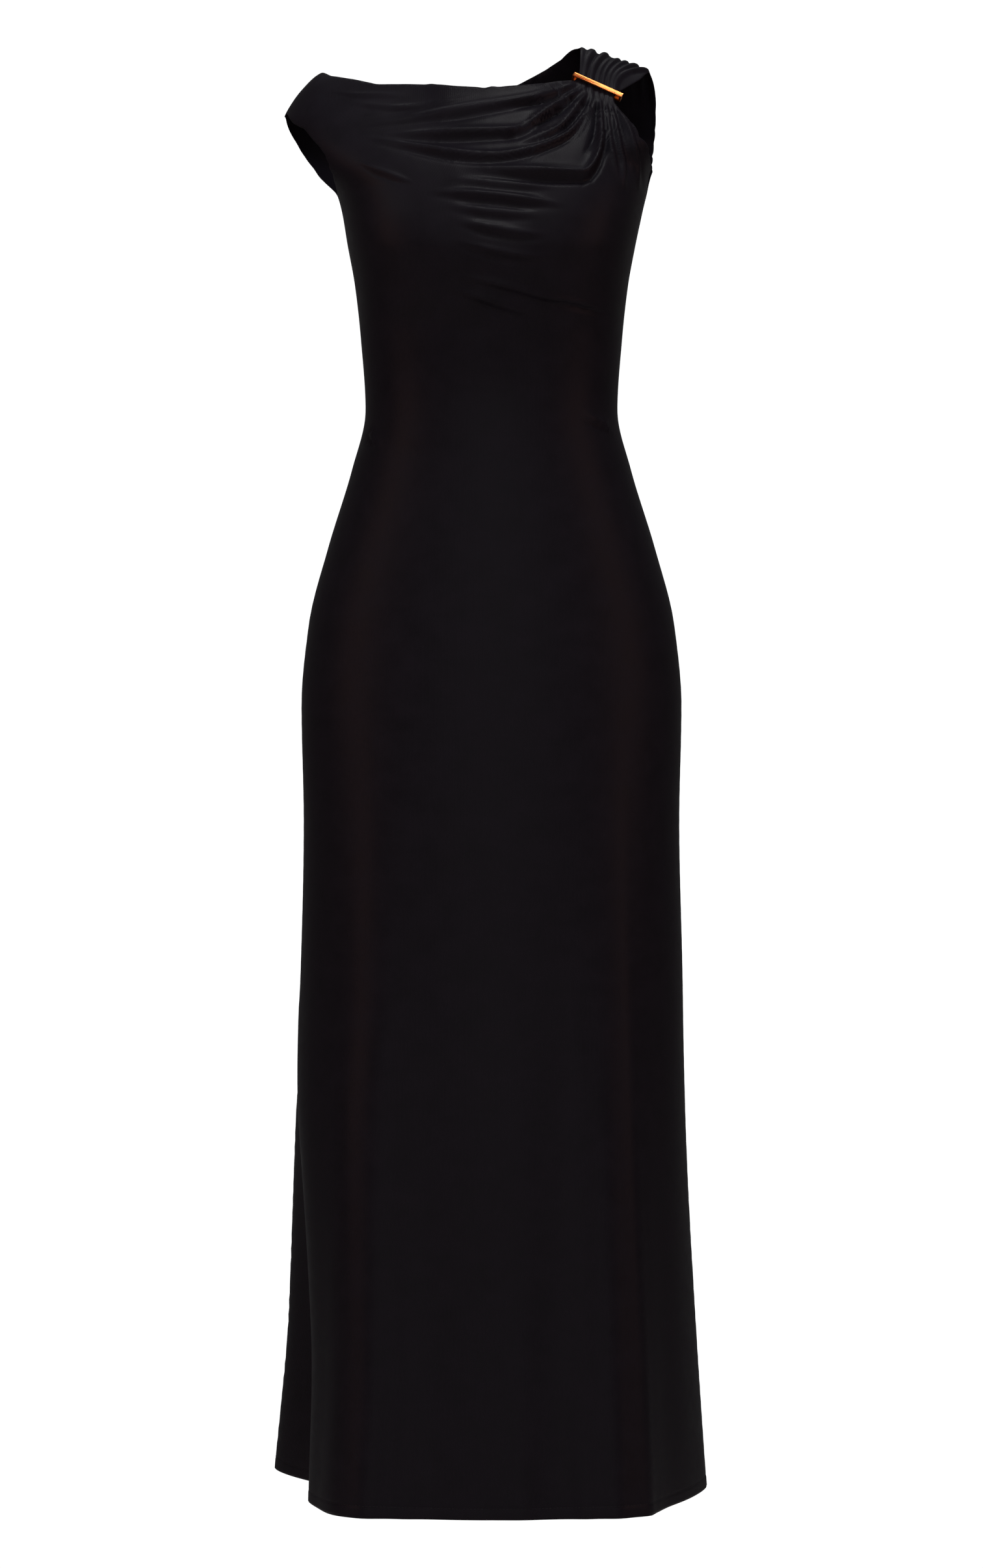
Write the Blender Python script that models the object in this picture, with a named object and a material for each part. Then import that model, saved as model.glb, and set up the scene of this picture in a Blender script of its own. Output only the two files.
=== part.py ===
"""A full-length jersey dress with one gathered shoulder strap and one off-the-shoulder cap.

It is filled out as when worn, with nobody in it, so the neck, both armholes and the hem are open.
Three pieces: the front and the back, each a thin wall of cloth cut in one with its half of the cap and
of the strap, and the metal slide that the strap's gathers pass through. Everything is in metres, the
front faces -Y and the viewer's right is +X. Places are worked out from the dress's own centre line and
hem, and the whole is then moved so that the origin lies under the crest of the strap, where a shoulder
holds it up.
"""

import math

import bmesh
import bpy
import numpy as np
from mathutils import Matrix, Vector
from mathutils.geometry import delaunay_2d_cdt

FRONT, BACK = -1, 1

# Driving sizes
WALL = 0.0013
SEAM_GAP = 0.0003
HELD_AT = (0.120, 0.000, 1.380)
CHEST_HEIGHT = 1.200
SHOULDER_HALF_WIDTH = 0.210
SHOULDER_FULLNESS = 0.060
ON_CREST = 2.0

# The flat sheet on which each piece is meshed: metres across a radian, and metres up a radian of shoulder
SHEET_ACROSS = 0.200
SHEET_OVER = 0.200
HEM_RISE = -CHEST_HEIGHT
CREST_RISE = SHEET_OVER * math.pi / 2
NORMAL_STEP = 0.0005

# Level sections through the body of the dress, from the hem up
SECTION_COLUMNS = ("height", "left", "right", "front", "back", "centre", "fullness")
SECTIONS = (
    (0.000, 0.2030, 0.2018, 0.205, 0.115, 0.030, 0.010),
    (0.160, 0.1935, 0.1945, 0.182, 0.114, 0.025, 0.018),
    (0.350, 0.1945, 0.1875, 0.156, 0.116, 0.015, 0.022),
    (0.500, 0.1850, 0.1850, 0.138, 0.119, 0.008, 0.020),
    (0.650, 0.1815, 0.1815, 0.125, 0.125, 0.001, 0.020),
    (0.760, 0.1835, 0.1835, 0.118, 0.130, 0.000, 0.020),
    (0.838, 0.1765, 0.1765, 0.112, 0.123, 0.000, 0.020),
    (0.913, 0.1575, 0.1575, 0.106, 0.107, 0.000, 0.020),
    (0.988, 0.1345, 0.1345, 0.100, 0.091, 0.000, 0.020),
    (1.045, 0.1215, 0.1215, 0.098, 0.082, 0.000, 0.025),
    (1.114, 0.1260, 0.1260, 0.109, 0.088, 0.000, 0.035),
    (1.164, 0.1315, 0.1315, 0.130, 0.096, 0.000, 0.045),
    (1.200, 0.1380, 0.1380, 0.140, 0.101, 0.000, 0.055),
    (1.250, 0.1480, 0.1485, 0.132, 0.106, 0.000, 0.060),
    (1.274, 0.1740, 0.1530, 0.124, 0.106, 0.000, 0.060),
    (1.300, 0.1980, 0.1820, 0.112, 0.103, 0.000, 0.060),
    (1.325, 0.2098, 0.2040, 0.102, 0.097, 0.000, 0.060),
    (1.350, 0.2100, 0.2100, 0.094, 0.089, 0.000, 0.060),
    (1.400, 0.2100, 0.2100, 0.085, 0.080, 0.000, 0.060),
)

# The line over the shoulders, from the neck outwards
CREST_COLUMNS = ("out", "left", "right")
CREST = (
    (0.000, 1.4600, 1.4600),
    (0.040, 1.4400, 1.4400),
    (0.065, 1.4100, 1.4100),
    (0.086, 1.3980, 1.3920),
    (0.110, 1.3890, 1.3845),
    (0.130, 1.3820, 1.3775),
    (0.154, 1.3735, 1.3675),
    (0.167, 1.3677, 1.3600),
    (0.183, 1.3526, 1.3450),
    (0.194, 1.3376, 1.3310),
    (0.200, 1.3263, 1.3200),
    (0.210, 1.2900, 1.2900),
)

# Edges of the cloth: degrees round from the middle of the piece, and height
UNDERARM_LEFT, UNDERARM_RIGHT = 1.2500, 1.2745
CAP_TIP, CAP_TOP = -65.6, -44.5
STRAP_INNER, STRAP_OUTER = 19.3, 39.0
ARMHOLE_LEFT_FRONT = (
    (CAP_TIP, ON_CREST),
    (-58.3, 1.3181),
    (-52.8, 1.3102),
    (-50.6, 1.2924),
    (-51.4, 1.2840),
    (-54.2, 1.2750),
    (-60.0, 1.2655),
    (-69.0, 1.2585),
    (-79.0, 1.2525),
    (-90.0, UNDERARM_LEFT),
)
ARMHOLE_LEFT_BACK = (
    (CAP_TIP, ON_CREST),
    (-63.8, 1.3174),
    (-63.2, 1.3057),
    (-63.7, 1.2937),
    (-66.0, 1.2811),
    (-72.5, 1.2674),
    (-81.0, 1.2560),
    (-90.0, UNDERARM_LEFT),
)
ARMHOLE_RIGHT_FRONT = (
    (90.0, UNDERARM_RIGHT),
    (76.6, 1.2777),
    (66.3, 1.2819),
    (59.3, 1.2857),
    (42.8, 1.3001),
    (34.9, 1.3158),
    (30.2, 1.3270),
    (28.0, 1.3345),
    (27.6, 1.3395),
    (28.4, 1.3450),
    (32.0, 1.3530),
    (35.5, 1.3606),
    (STRAP_OUTER, ON_CREST),
)
ARMHOLE_RIGHT_BACK = (
    (90.0, UNDERARM_RIGHT),
    (77.3, 1.2789),
    (65.0, 1.2855),
    (54.5, 1.2950),
    (48.1, 1.3079),
    (44.2, 1.3204),
    (42.2, 1.3370),
    (41.1, 1.3554),
    (STRAP_OUTER, ON_CREST),
)
NECKLINE_FRONT = (
    (STRAP_INNER, ON_CREST),
    (19.2, 1.3790),
    (19.1, 1.3700),
    (18.9, 1.3620),
    (18.0, 1.3565),
    (14.0, 1.3545),
    (11.1, 1.3518),
    (5.3, 1.3493),
    (-1.0, 1.3468),
    (-7.2, 1.3487),
    (-13.1, 1.3516),
    (-25.5, 1.3531),
    (-31.6, 1.3587),
    (-39.8, 1.3643),
    (CAP_TOP, ON_CREST),
)
NECKLINE_BACK = (
    (STRAP_INNER, ON_CREST),
    (15.3, 1.3868),
    (11.4, 1.3774),
    (5.5, 1.3648),
    (-4.0, 1.3490),
    (-12.0, 1.3410),
    (-22.0, 1.3400),
    (-32.0, 1.3470),
    (-40.0, 1.3570),
    (CAP_TOP, ON_CREST),
)

# Gathers of the strap: where each ridge crosses the crest and where it enters the slide
GATHER_COLUMNS = ("at_crest", "at_slide", "half_width", "lift")
GATHERS = (
    (0.0882, 0.0842, 0.0026, 0.0020),
    (0.0975, 0.0879, 0.0030, 0.0028),
    (0.1068, 0.0945, 0.0030, 0.0030),
    (0.1165, 0.1015, 0.0026, 0.0024),
    (0.1228, 0.1060, 0.0024, 0.0022),
    (0.1303, 0.1105, 0.0026, 0.0026),
    (0.1380, 0.1145, 0.0028, 0.0026),
    (0.1478, 0.1180, 0.0030, 0.0030),
)
SLIDE_TURN = 0.95
GATHER_DRAWN_IN = 0.30
GATHER_SPREAD = 0.25
GATHER_WIDENS = 0.80
GATHER_FADES = 0.50
GATHER_ENDS = 4.0

# Drape folds of the front, as seen from the front: four points (across, height) along each ridge or,
# where the lift is below nothing, each trough; its half width at both ends and its lift
FOLD_COLUMNS = ("start", "second", "third", "end", "start_width", "end_width", "lift")
FRONT_FOLDS = (
    ((0.0830, 1.3545), (0.0574, 1.3428), (0.0269, 1.3349), (-0.0905, 1.3171), 0.0040, 0.0080, 0.0040),
    ((0.0870, 1.3492), (0.0573, 1.3284), (0.0200, 1.3040), (-0.1083, 1.3009), 0.0035, 0.0080, 0.0055),
    ((0.0915, 1.3448), (0.0827, 1.3325), (0.0620, 1.3070), (0.0187, 1.2890), 0.0032, 0.0055, 0.0035),
    ((0.0960, 1.3395), (0.0706, 1.3004), (0.0009, 1.2791), (-0.1238, 1.3000), 0.0032, 0.0065, 0.0048),
    ((0.1035, 1.3370), (0.1034, 1.3011), (0.0850, 1.2618), (-0.0303, 1.2676), 0.0034, 0.0080, 0.0072),
    ((0.1090, 1.3331), (0.1114, 1.3014), (0.1162, 1.2747), (0.1204, 1.2558), 0.0030, 0.0040, 0.0028),
    ((0.1140, 1.3313), (0.1201, 1.2971), (0.1243, 1.2689), (0.1261, 1.2432), 0.0028, 0.0048, 0.0036),
    ((0.1185, 1.3294), (0.1308, 1.3073), (0.1378, 1.2770), (0.1405, 1.2460), 0.0028, 0.0048, 0.0034),
    ((0.0700, 1.3410), (0.0560, 1.3365), (0.0398, 1.3325), (0.0150, 1.3285), 0.0035, 0.0045, -0.0030),
    ((0.0830, 1.3400), (0.0606, 1.3220), (0.0345, 1.3090), (0.0080, 1.2915), 0.0035, 0.0050, -0.0052),
    ((0.0930, 1.3375), (0.0844, 1.3232), (0.0740, 1.3115), (0.0550, 1.3000), 0.0028, 0.0040, -0.0034),
    ((0.1005, 1.3360), (0.0996, 1.3147), (0.0955, 1.2952), (0.0860, 1.2790), 0.0028, 0.0040, -0.0046),
    ((-0.0533, 1.2440), (-0.0121, 1.2417), (0.0394, 1.2358), (0.0729, 1.2310), 0.0060, 0.0060, 0.0046),
    ((-0.0328, 1.2557), (-0.0070, 1.2534), (0.0136, 1.2515), (0.0652, 1.2482), 0.0050, 0.0050, 0.0022),
    ((-0.0327, 1.2291), (0.0008, 1.2251), (0.0266, 1.2227), (0.0496, 1.2201), 0.0055, 0.0055, 0.0024),
    ((-0.0275, 1.2147), (0.0034, 1.2094), (0.0266, 1.2054), (0.0548, 1.2020), 0.0060, 0.0060, 0.0030),
    ((-0.0223, 1.1953), (0.0085, 1.1877), (0.0327, 1.1837), (0.0600, 1.1806), 0.0065, 0.0065, 0.0026),
    ((-0.1236, 1.2738), (-0.1116, 1.2686), (-0.0961, 1.2624), (-0.0792, 1.2551), 0.0060, 0.0060, 0.0024),
    ((-0.0294, 1.1645), (0.0075, 1.1577), (0.0606, 1.1449), (0.1147, 1.1376), 0.0060, 0.0050, 0.0026),
    ((-0.0295, 1.1512), (-0.0101, 1.1456), (0.0075, 1.1399), (0.0514, 1.1268), 0.0060, 0.0060, 0.0024),
)
# The same for the back, similar to what the front shows
BACK_FOLDS = (
    ((0.0750, 1.3560), (0.0450, 1.3370), (0.0020, 1.3200), (-0.0900, 1.3150), 0.0060, 0.0100, 0.0040),
    ((0.0900, 1.3450), (0.0700, 1.3150), (0.0250, 1.2900), (-0.0900, 1.2800), 0.0055, 0.0110, 0.0050),
    ((0.1080, 1.3380), (0.1020, 1.3020), (0.0750, 1.2700), (-0.0100, 1.2500), 0.0055, 0.0100, 0.0048),
    ((0.1260, 1.3320), (0.1300, 1.3000), (0.1250, 1.2700), (0.1100, 1.2350), 0.0055, 0.0080, 0.0034),
    ((-0.0700, 1.0750), (-0.0250, 1.0600), (0.0250, 1.0600), (0.0700, 1.0750), 0.0110, 0.0110, 0.0034),
    ((-0.0600, 1.0450), (-0.0200, 1.0330), (0.0200, 1.0330), (0.0600, 1.0450), 0.0100, 0.0100, 0.0028),
)
FOLD_SAMPLES = 28
FOLD_START_SHARE = 0.35
FOLD_GROWS = 4.0
FOLD_FADES = 2.6

# Flutes of the skirt: degrees round from the front, growing from a starting height down to the hem
FLUTE_COLUMNS = ("around", "starts_at", "lift", "half_width")
FLUTES = (
    (-36.5, 0.800, 0.0255, 12.5),
    (0.0, 0.400, -0.0045, 22.0),
    (36.5, 0.800, 0.0255, 12.5),
    (-93.0, 0.470, -0.0540, 22.0),
    (-125.0, 0.800, 0.0750, 11.5),
    (-160.0, 0.560, -0.0240, 18.0),
    (92.0, 0.450, 0.0075, 14.0),
    (128.0, 0.560, 0.0180, 20.0),
    (150.0, 0.520, -0.0100, 12.0),
    (172.0, 0.620, 0.0180, 20.0),
)
FLUTE_GROWTH = 1.3

# How far apart the points of the mesh stand, by height
SPACING_COLUMNS = ("height", "front", "back")
SKIRT_TOP = 0.850
SKIRT_COLUMNS = 36
SKIRT_ROW = 0.045
STRAP_SEAM_STEPS = 16
CAP_SEAM_STEPS = 8
ROW_SHARE = 0.87
GATHER_ROWS = {FRONT: (7, 1.0), BACK: (6, 1.5)}
EDGE_SPACING = {FRONT: 0.0085, BACK: 0.0110}
FOLD_SPACING = {FRONT: 0.0090, BACK: 0.0160}
BESIDE_FOLD = 1.35
GATHER_SHARE, FOLD_SHARE, GRID_SHARE = 0.25, 0.32, 0.62
SPACING = (
    (0.00, 0.024, 0.024),
    (0.84, 0.024, 0.024),
    (0.90, 0.028, 0.032),
    (1.05, 0.022, 0.028),
    (1.17, 0.015, 0.022),
    (1.26, 0.0105, 0.016),
    (1.40, 0.0095, 0.013),
)

# The slide, a flattened loop of polished metal: the strap runs through its opening
SLIDE_LENGTH = 0.0510
SLIDE_BAND = 0.0052
SLIDE_FRONT_THICKNESS = 0.0034
SLIDE_BACK_THICKNESS = 0.0018
SLIDE_END_THICKNESS = 0.0020
SLIDE_OPENING = 0.0047
SLIDE_OPENING_OUTSIDE = 0.00173
SLIDE_CORNER = 0.0014
SLIDE_OPENING_CORNER = 0.0008
SLIDE_CORNER_STEPS = 3
SLIDE_EDGE = 0.0004
SLIDE_ENDS = ((17.55, 1.3612), (29.84, 1.3403))

JERSEY_COLOUR = (0.0070, 0.0066, 0.0075)
GOLD_COLOUR = (0.78, 0.50, 0.20)


def column(table, columns, name):
    return np.array([row[columns.index(name)] for row in table], float)


def through(at, knots, values):
    """A smooth curve through the knots, which never overshoots between them."""
    steps = np.diff(knots)
    rises = np.diff(values) / steps
    slopes = np.zeros_like(values)
    slopes[0], slopes[-1] = rises[0], rises[-1]
    product = rises[1:] * rises[:-1]
    total = rises[1:] + rises[:-1]
    slopes[1:-1] = np.where(product > 0, 2 * product / np.where(total == 0, 1, total), 0)
    at = np.clip(at, knots[0], knots[-1])
    index = np.clip(np.searchsorted(knots, at) - 1, 0, len(steps) - 1)
    part = (at - knots[index]) / steps[index]
    ahead = values[index] * (1 + 2 * part) * (1 - part) ** 2 + values[index + 1] * part**2 * (3 - 2 * part)
    bend = slopes[index] * part * (1 - part) ** 2 - slopes[index + 1] * part**2 * (1 - part)
    return ahead + steps[index] * bend


def section(height, name):
    return through(height, column(SECTIONS, SECTION_COLUMNS, "height"), column(SECTIONS, SECTION_COLUMNS, name))


def ring_across(angle, fullness):
    return (np.sin(angle) + fullness * np.sin(3 * angle)) / (1 - fullness)


def ring_deep(angle, fullness):
    return (np.cos(angle) - fullness * np.cos(3 * angle)) / (1 - fullness)


def crest_height(angle):
    out = SHOULDER_HALF_WIDTH * ring_across(angle, SHOULDER_FULLNESS)
    knots = column(CREST, CREST_COLUMNS, "out")
    left = through(np.abs(out), knots, column(CREST, CREST_COLUMNS, "left"))
    right = through(np.abs(out), knots, column(CREST, CREST_COLUMNS, "right"))
    return np.where(out < 0, left, right)


def form(face, angle, rise):
    """Points of the smooth form under the folds. A rise above nothing climbs over the shoulder."""
    turn = np.maximum(rise, 0) / SHEET_OVER
    over = CHEST_HEIGHT + (crest_height(angle) - CHEST_HEIGHT) * np.sin(turn)
    height = np.where(rise > 0, over, CHEST_HEIGHT + rise)
    half = np.where(angle < 0, section(height, "left"), section(height, "right"))
    depth = section(height, "front" if face == FRONT else "back")
    fullness = section(height, "fullness")
    across = half * ring_across(angle, fullness)
    deep = section(height, "centre") + face * depth * ring_deep(angle, fullness) * np.cos(turn)
    return np.stack([across, deep, height], axis=-1)


def rise_at(angle, height):
    share = (height - CHEST_HEIGHT) / (crest_height(angle) - CHEST_HEIGHT)
    over = SHEET_OVER * np.arcsin(np.clip(share, 0, 1))
    return np.where(height > CHEST_HEIGHT, over, height - CHEST_HEIGHT)


def angle_at(across, height):
    """The angle whose point on the level section stands that far across."""
    half = np.where(across < 0, section(height, "left"), section(height, "right"))
    fullness = section(height, "fullness")
    low, high = np.full(np.shape(across), -math.pi / 2), np.full(np.shape(across), math.pi / 2)
    for _ in range(40):
        middle = (low + high) / 2
        short = half * ring_across(middle, fullness) < across
        low, high = np.where(short, middle, low), np.where(short, high, middle)
    return (low + high) / 2


def curve_through(points, samples):
    """Evenly spread points on a smooth curve through the given ones."""
    points = np.array(points, float)
    lengths = np.concatenate([[0.0], np.cumsum(np.linalg.norm(np.diff(points, axis=0), axis=1))])
    at = np.linspace(0, lengths[-1], samples)
    return np.stack([through(at, lengths, points[:, axis]) for axis in range(points.shape[1])], axis=-1)


def fold_lift(folds, across, height):
    """How far the drape folds lift the cloth at places seen from the front."""
    lift = np.zeros_like(across)
    for start, second, third, end, start_width, end_width, most in folds:
        line = curve_through((start, second, third, end), FOLD_SAMPLES)
        nearest = np.full(across.shape, np.inf)
        along = np.zeros_like(across)
        for index in range(FOLD_SAMPLES - 1):
            step = line[index + 1] - line[index]
            offset = np.stack([across, height], axis=-1) - line[index]
            part = np.clip(offset @ step / (step @ step), 0, 1)
            gap = np.linalg.norm(offset - part[..., None] * step, axis=-1)
            closer = gap < nearest
            nearest = np.where(closer, gap, nearest)
            along = np.where(closer, (index + part) / (FOLD_SAMPLES - 1), along)
        width = start_width + (end_width - start_width) * along
        fade = np.minimum(1, FOLD_START_SHARE + FOLD_GROWS * along) * np.minimum(1, FOLD_FADES * (1 - along))
        lift += most * fade * np.exp(-((nearest / width) ** 2))
    return lift


def smooth_step(value):
    value = np.clip(value, 0, 1)
    return value * value * (3 - 2 * value)


def gather_lift(face, across, turn):
    """The strap's gathers, pinched in the slide, fullest over the crest and fading down the back."""
    from_crest = (math.pi / 2 - turn) / (math.pi / 2 - SLIDE_TURN)
    if face == FRONT:
        shift = smooth_step(from_crest)
        narrower = 1 - GATHER_DRAWN_IN * shift
        left_over = (1 - GATHER_FADES * shift) * (1 - smooth_step((from_crest - 1) * GATHER_ENDS))
    else:
        shift = -GATHER_SPREAD * smooth_step(from_crest / 2)
        narrower = 1 + GATHER_WIDENS * smooth_step(from_crest / 2)
        left_over = 1 - smooth_step(from_crest / 2)
    lift = np.zeros_like(across)
    for at_crest, at_slide, half_width, most in GATHERS:
        ridge = at_crest + (at_slide - at_crest) * shift
        lift += most * np.exp(-(((across - ridge) / (half_width * narrower)) ** 2))
    return lift * left_over


def flute_lift(around, height):
    lift = np.zeros_like(around)
    for middle, starts_at, most, half_width in FLUTES:
        away = np.remainder(around - math.radians(middle) + math.pi, 2 * math.pi) - math.pi
        grown = np.clip((starts_at - height) / starts_at, 0, 1) ** FLUTE_GROWTH
        lift += most * grown * np.exp(-((away / math.radians(half_width)) ** 2))
    return lift


def cloth_lift(face, angle, rise):
    places = form(face, angle, rise)
    around = angle if face == FRONT else math.pi - angle
    lift = flute_lift(around, places[..., 2])
    lift += gather_lift(face, places[..., 0], np.maximum(rise, 0) / SHEET_OVER)
    lift += fold_lift(FRONT_FOLDS if face == FRONT else BACK_FOLDS, places[..., 0], places[..., 2])
    return lift


def outward(surface, face, angle, rise):
    """Unit normals of a surface given as a function of the angle and the rise."""
    step = NORMAL_STEP
    over = surface(face, angle + step / SHEET_ACROSS, rise) - surface(face, angle - step / SHEET_ACROSS, rise)
    up = surface(face, angle, rise + step) - surface(face, angle, rise - step)
    normal = np.cross(over, up) if face == FRONT else np.cross(up, over)
    return normal / np.linalg.norm(normal, axis=-1, keepdims=True)


def cloth(face, angle, rise):
    """Points of the cloth's outer surface, folds and all."""
    lift = cloth_lift(face, angle, rise)
    return form(face, angle, rise) + outward(form, face, angle, rise) * lift[..., None]


def with_more_rows(rows):
    """The rows and two more between each pair under the crest, so that the edge keeps to their heights."""
    fuller = [rows[0]]
    for before, after in zip(rows, rows[1:]):
        if max(before[1], after[1]) < ON_CREST:
            for share in (1 / 3, 2 / 3):
                fuller.append(tuple(first + share * (last - first) for first, last in zip(before, after)))
        fuller.append(after)
    return fuller


def edge(rows, spacing):
    """Points on the flat sheet along an edge given by rows of degrees round and height."""
    rows = with_more_rows(rows)
    angles = np.radians([row[0] for row in rows])
    rises = rise_at(angles, np.array([row[1] for row in rows]))
    corners = np.stack([angles * SHEET_ACROSS, rises], axis=-1)
    length = np.linalg.norm(np.diff(corners, axis=0), axis=1).sum()
    return curve_through(corners, max(3, round(length / spacing) + 1))


def seam_points(rows):
    """Points on the flat sheet along a seam over the shoulder, one for each row."""
    angles = np.radians([row[0] for row in rows])
    return np.stack([angles * SHEET_ACROSS, np.full(len(angles), CREST_RISE)], axis=-1)


def side_seam(degrees, underarm):
    """Points down one side seam, from the underarm to the hem, closer together at the bodice."""
    rise = float(rise_at(np.radians(degrees), np.array(underarm)))
    rises = [rise]
    while rises[-1] > HEM_RISE:
        height = CHEST_HEIGHT + rises[-1]
        rises.append(rises[-1] - (SKIRT_ROW if height < SKIRT_TOP else spacing_at(height, FRONT)))
    rises[-1] = HEM_RISE
    return np.array([(math.radians(degrees) * SHEET_ACROSS, value) for value in rises])


def spacing_at(height, face):
    name = "front" if face == FRONT else "back"
    knots = column(SPACING, SPACING_COLUMNS, "height")
    return np.interp(height, knots, column(SPACING, SPACING_COLUMNS, name))


def outline(face):
    """The piece's closed outline on the flat sheet, anticlockwise, without a repeated point."""
    hem = np.linspace(-90, 90, SKIRT_COLUMNS + 1)
    right_edge = ARMHOLE_RIGHT_FRONT if face == FRONT else ARMHOLE_RIGHT_BACK
    left_edge = ARMHOLE_LEFT_FRONT if face == FRONT else ARMHOLE_LEFT_BACK
    neckline = NECKLINE_FRONT if face == FRONT else NECKLINE_BACK
    strap_seam = [(degrees, ON_CREST) for degrees in np.linspace(STRAP_OUTER, STRAP_INNER, STRAP_SEAM_STEPS + 1)]
    cap_seam = [(degrees, ON_CREST) for degrees in np.linspace(CAP_TOP, CAP_TIP, CAP_SEAM_STEPS + 1)]
    stretches = (
        np.stack([np.radians(hem) * SHEET_ACROSS, np.full(len(hem), HEM_RISE)], axis=-1),
        side_seam(90, UNDERARM_RIGHT)[::-1],
        edge(right_edge, EDGE_SPACING[face]),
        seam_points(strap_seam),
        edge(neckline, EDGE_SPACING[face]),
        seam_points(cap_seam),
        edge(left_edge, EDGE_SPACING[face]),
        side_seam(-90, UNDERARM_LEFT),
    )
    return np.concatenate([stretch[:-1] for stretch in stretches])


def sheet_scale(places):
    """Real metres for each metre of sheet across and up, about, at places on the sheet."""
    turn = np.maximum(places[:, 1], 0) / SHEET_OVER
    height = np.minimum(CHEST_HEIGHT + places[:, 1], HELD_AT[2])
    across = (section(height, "right") + section(height, "front")) / 2 / SHEET_ACROSS
    climb, depth = HELD_AT[2] - CHEST_HEIGHT, section(np.array(HELD_AT[2]), "front")
    over = np.hypot(climb * np.cos(turn), depth * np.sin(turn)) / SHEET_OVER
    return np.stack([across, np.where(places[:, 1] > 0, over, 1.0)], axis=-1)


def grid_points(face):
    """Rows of points over the whole sheet: in columns down the skirt, staggered and closer together above."""
    points = []
    rise, odd = HEM_RISE, False
    while rise < CREST_RISE:
        if CHEST_HEIGHT + rise < SKIRT_TOP:
            columns = np.arange(1, SKIRT_COLUMNS) / SKIRT_COLUMNS - 0.5
            points += [(offset * math.pi * SHEET_ACROSS, rise) for offset in columns]
            rise += SKIRT_ROW
            continue
        scale = sheet_scale(np.array([[0.0, rise]]))[0]
        spacing = spacing_at(min(CHEST_HEIGHT + rise, HELD_AT[2]), face)
        count = max(4, round(math.pi * SHEET_ACROSS * scale[0] / spacing))
        offsets = (np.arange(count) + (0.5 if odd else 0.0)) / count - 0.5
        points += [(offset * math.pi * SHEET_ACROSS, rise) for offset in offsets]
        rise += spacing * ROW_SHARE / scale[1]
        odd = not odd
    return np.array(points)


def fold_points(face):
    """Points on the sheet along each ridge and beside it, so that the facets follow the folds."""
    points = []
    for start, second, third, end, start_width, end_width, _ in FRONT_FOLDS if face == FRONT else BACK_FOLDS:
        rough = np.linalg.norm(np.diff(np.array([start, second, third, end]), axis=0), axis=1).sum()
        line = curve_through((start, second, third, end), max(4, round(rough / FOLD_SPACING[face])))
        sides = np.gradient(line, axis=0)
        sides = np.stack([-sides[:, 1], sides[:, 0]], axis=-1) / np.linalg.norm(sides, axis=1)[:, None]
        widths = np.linspace(start_width, end_width, len(line))[:, None]
        for shift in (0.0, BESIDE_FOLD, -BESIDE_FOLD):
            moved = line + sides * widths * shift
            angles = angle_at(moved[:, 0], moved[:, 1])
            points.append(np.stack([angles * SHEET_ACROSS, rise_at(angles, moved[:, 1])], axis=-1))
    return np.concatenate(points)


def gather_points(face):
    """Points on the sheet along the strap's ridges and the troughs between them."""
    at_crest = column(GATHERS, GATHER_COLUMNS, "at_crest")
    at_slide = column(GATHERS, GATHER_COLUMNS, "at_slide")
    between = (at_crest[1:] + at_crest[:-1]) / 2, (at_slide[1:] + at_slide[:-1]) / 2
    starts, ends = np.concatenate([at_crest, between[0]]), np.concatenate([at_slide, between[1]])
    rows, reach = GATHER_ROWS[face]
    points = []
    for from_crest in np.linspace(0, reach, rows + 1)[1:]:
        shift = smooth_step(from_crest) if face == FRONT else -GATHER_SPREAD * smooth_step(from_crest / 2)
        turn = math.pi / 2 - from_crest * (math.pi / 2 - SLIDE_TURN)
        angles = angle_at(starts + (ends - starts) * shift, np.full(len(starts), HELD_AT[2]))
        points.append(np.stack([angles * SHEET_ACROSS, np.full(len(angles), turn * SHEET_OVER)], axis=-1))
    return np.concatenate(points)


def keep_apart(layers, face):
    """Points of every layer, leaving out those too near one that is already in."""
    kept = []
    kept_near = []
    for points, share in layers:
        scale = sheet_scale(points)
        for place, stretch in zip(points, scale):
            near = share * spacing_at(min(CHEST_HEIGHT + place[1], HELD_AT[2]), face)
            if kept:
                gaps = np.linalg.norm((np.array(kept) - place) * stretch, axis=1)
                if (gaps < np.minimum(near, np.array(kept_near))).any():
                    continue
            kept.append(place)
            kept_near.append(near)
    return np.array(kept)


def inside(points, loop):
    """Which points lie inside the closed loop."""
    odd = np.zeros(len(points), bool)
    for (x0, y0), (x1, y1) in zip(loop, np.roll(loop, -1, axis=0)):
        crosses = (y0 > points[:, 1]) != (y1 > points[:, 1])
        at = x0 + (points[:, 1] - y0) * (x1 - x0) / (y1 - y0 if y1 != y0 else 1.0)
        odd ^= crosses & (points[:, 0] < at)
    return odd


def away_from(points, loop, face, share):
    """The points that keep their distance from the outline."""
    kept = []
    for place in points:
        stretch = sheet_scale(place[None])[0]
        near = share * spacing_at(min(CHEST_HEIGHT + place[1], HELD_AT[2]), face)
        if (np.linalg.norm((loop - place) * stretch, axis=1) >= near).all():
            kept.append(place)
    return np.array(kept)


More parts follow.
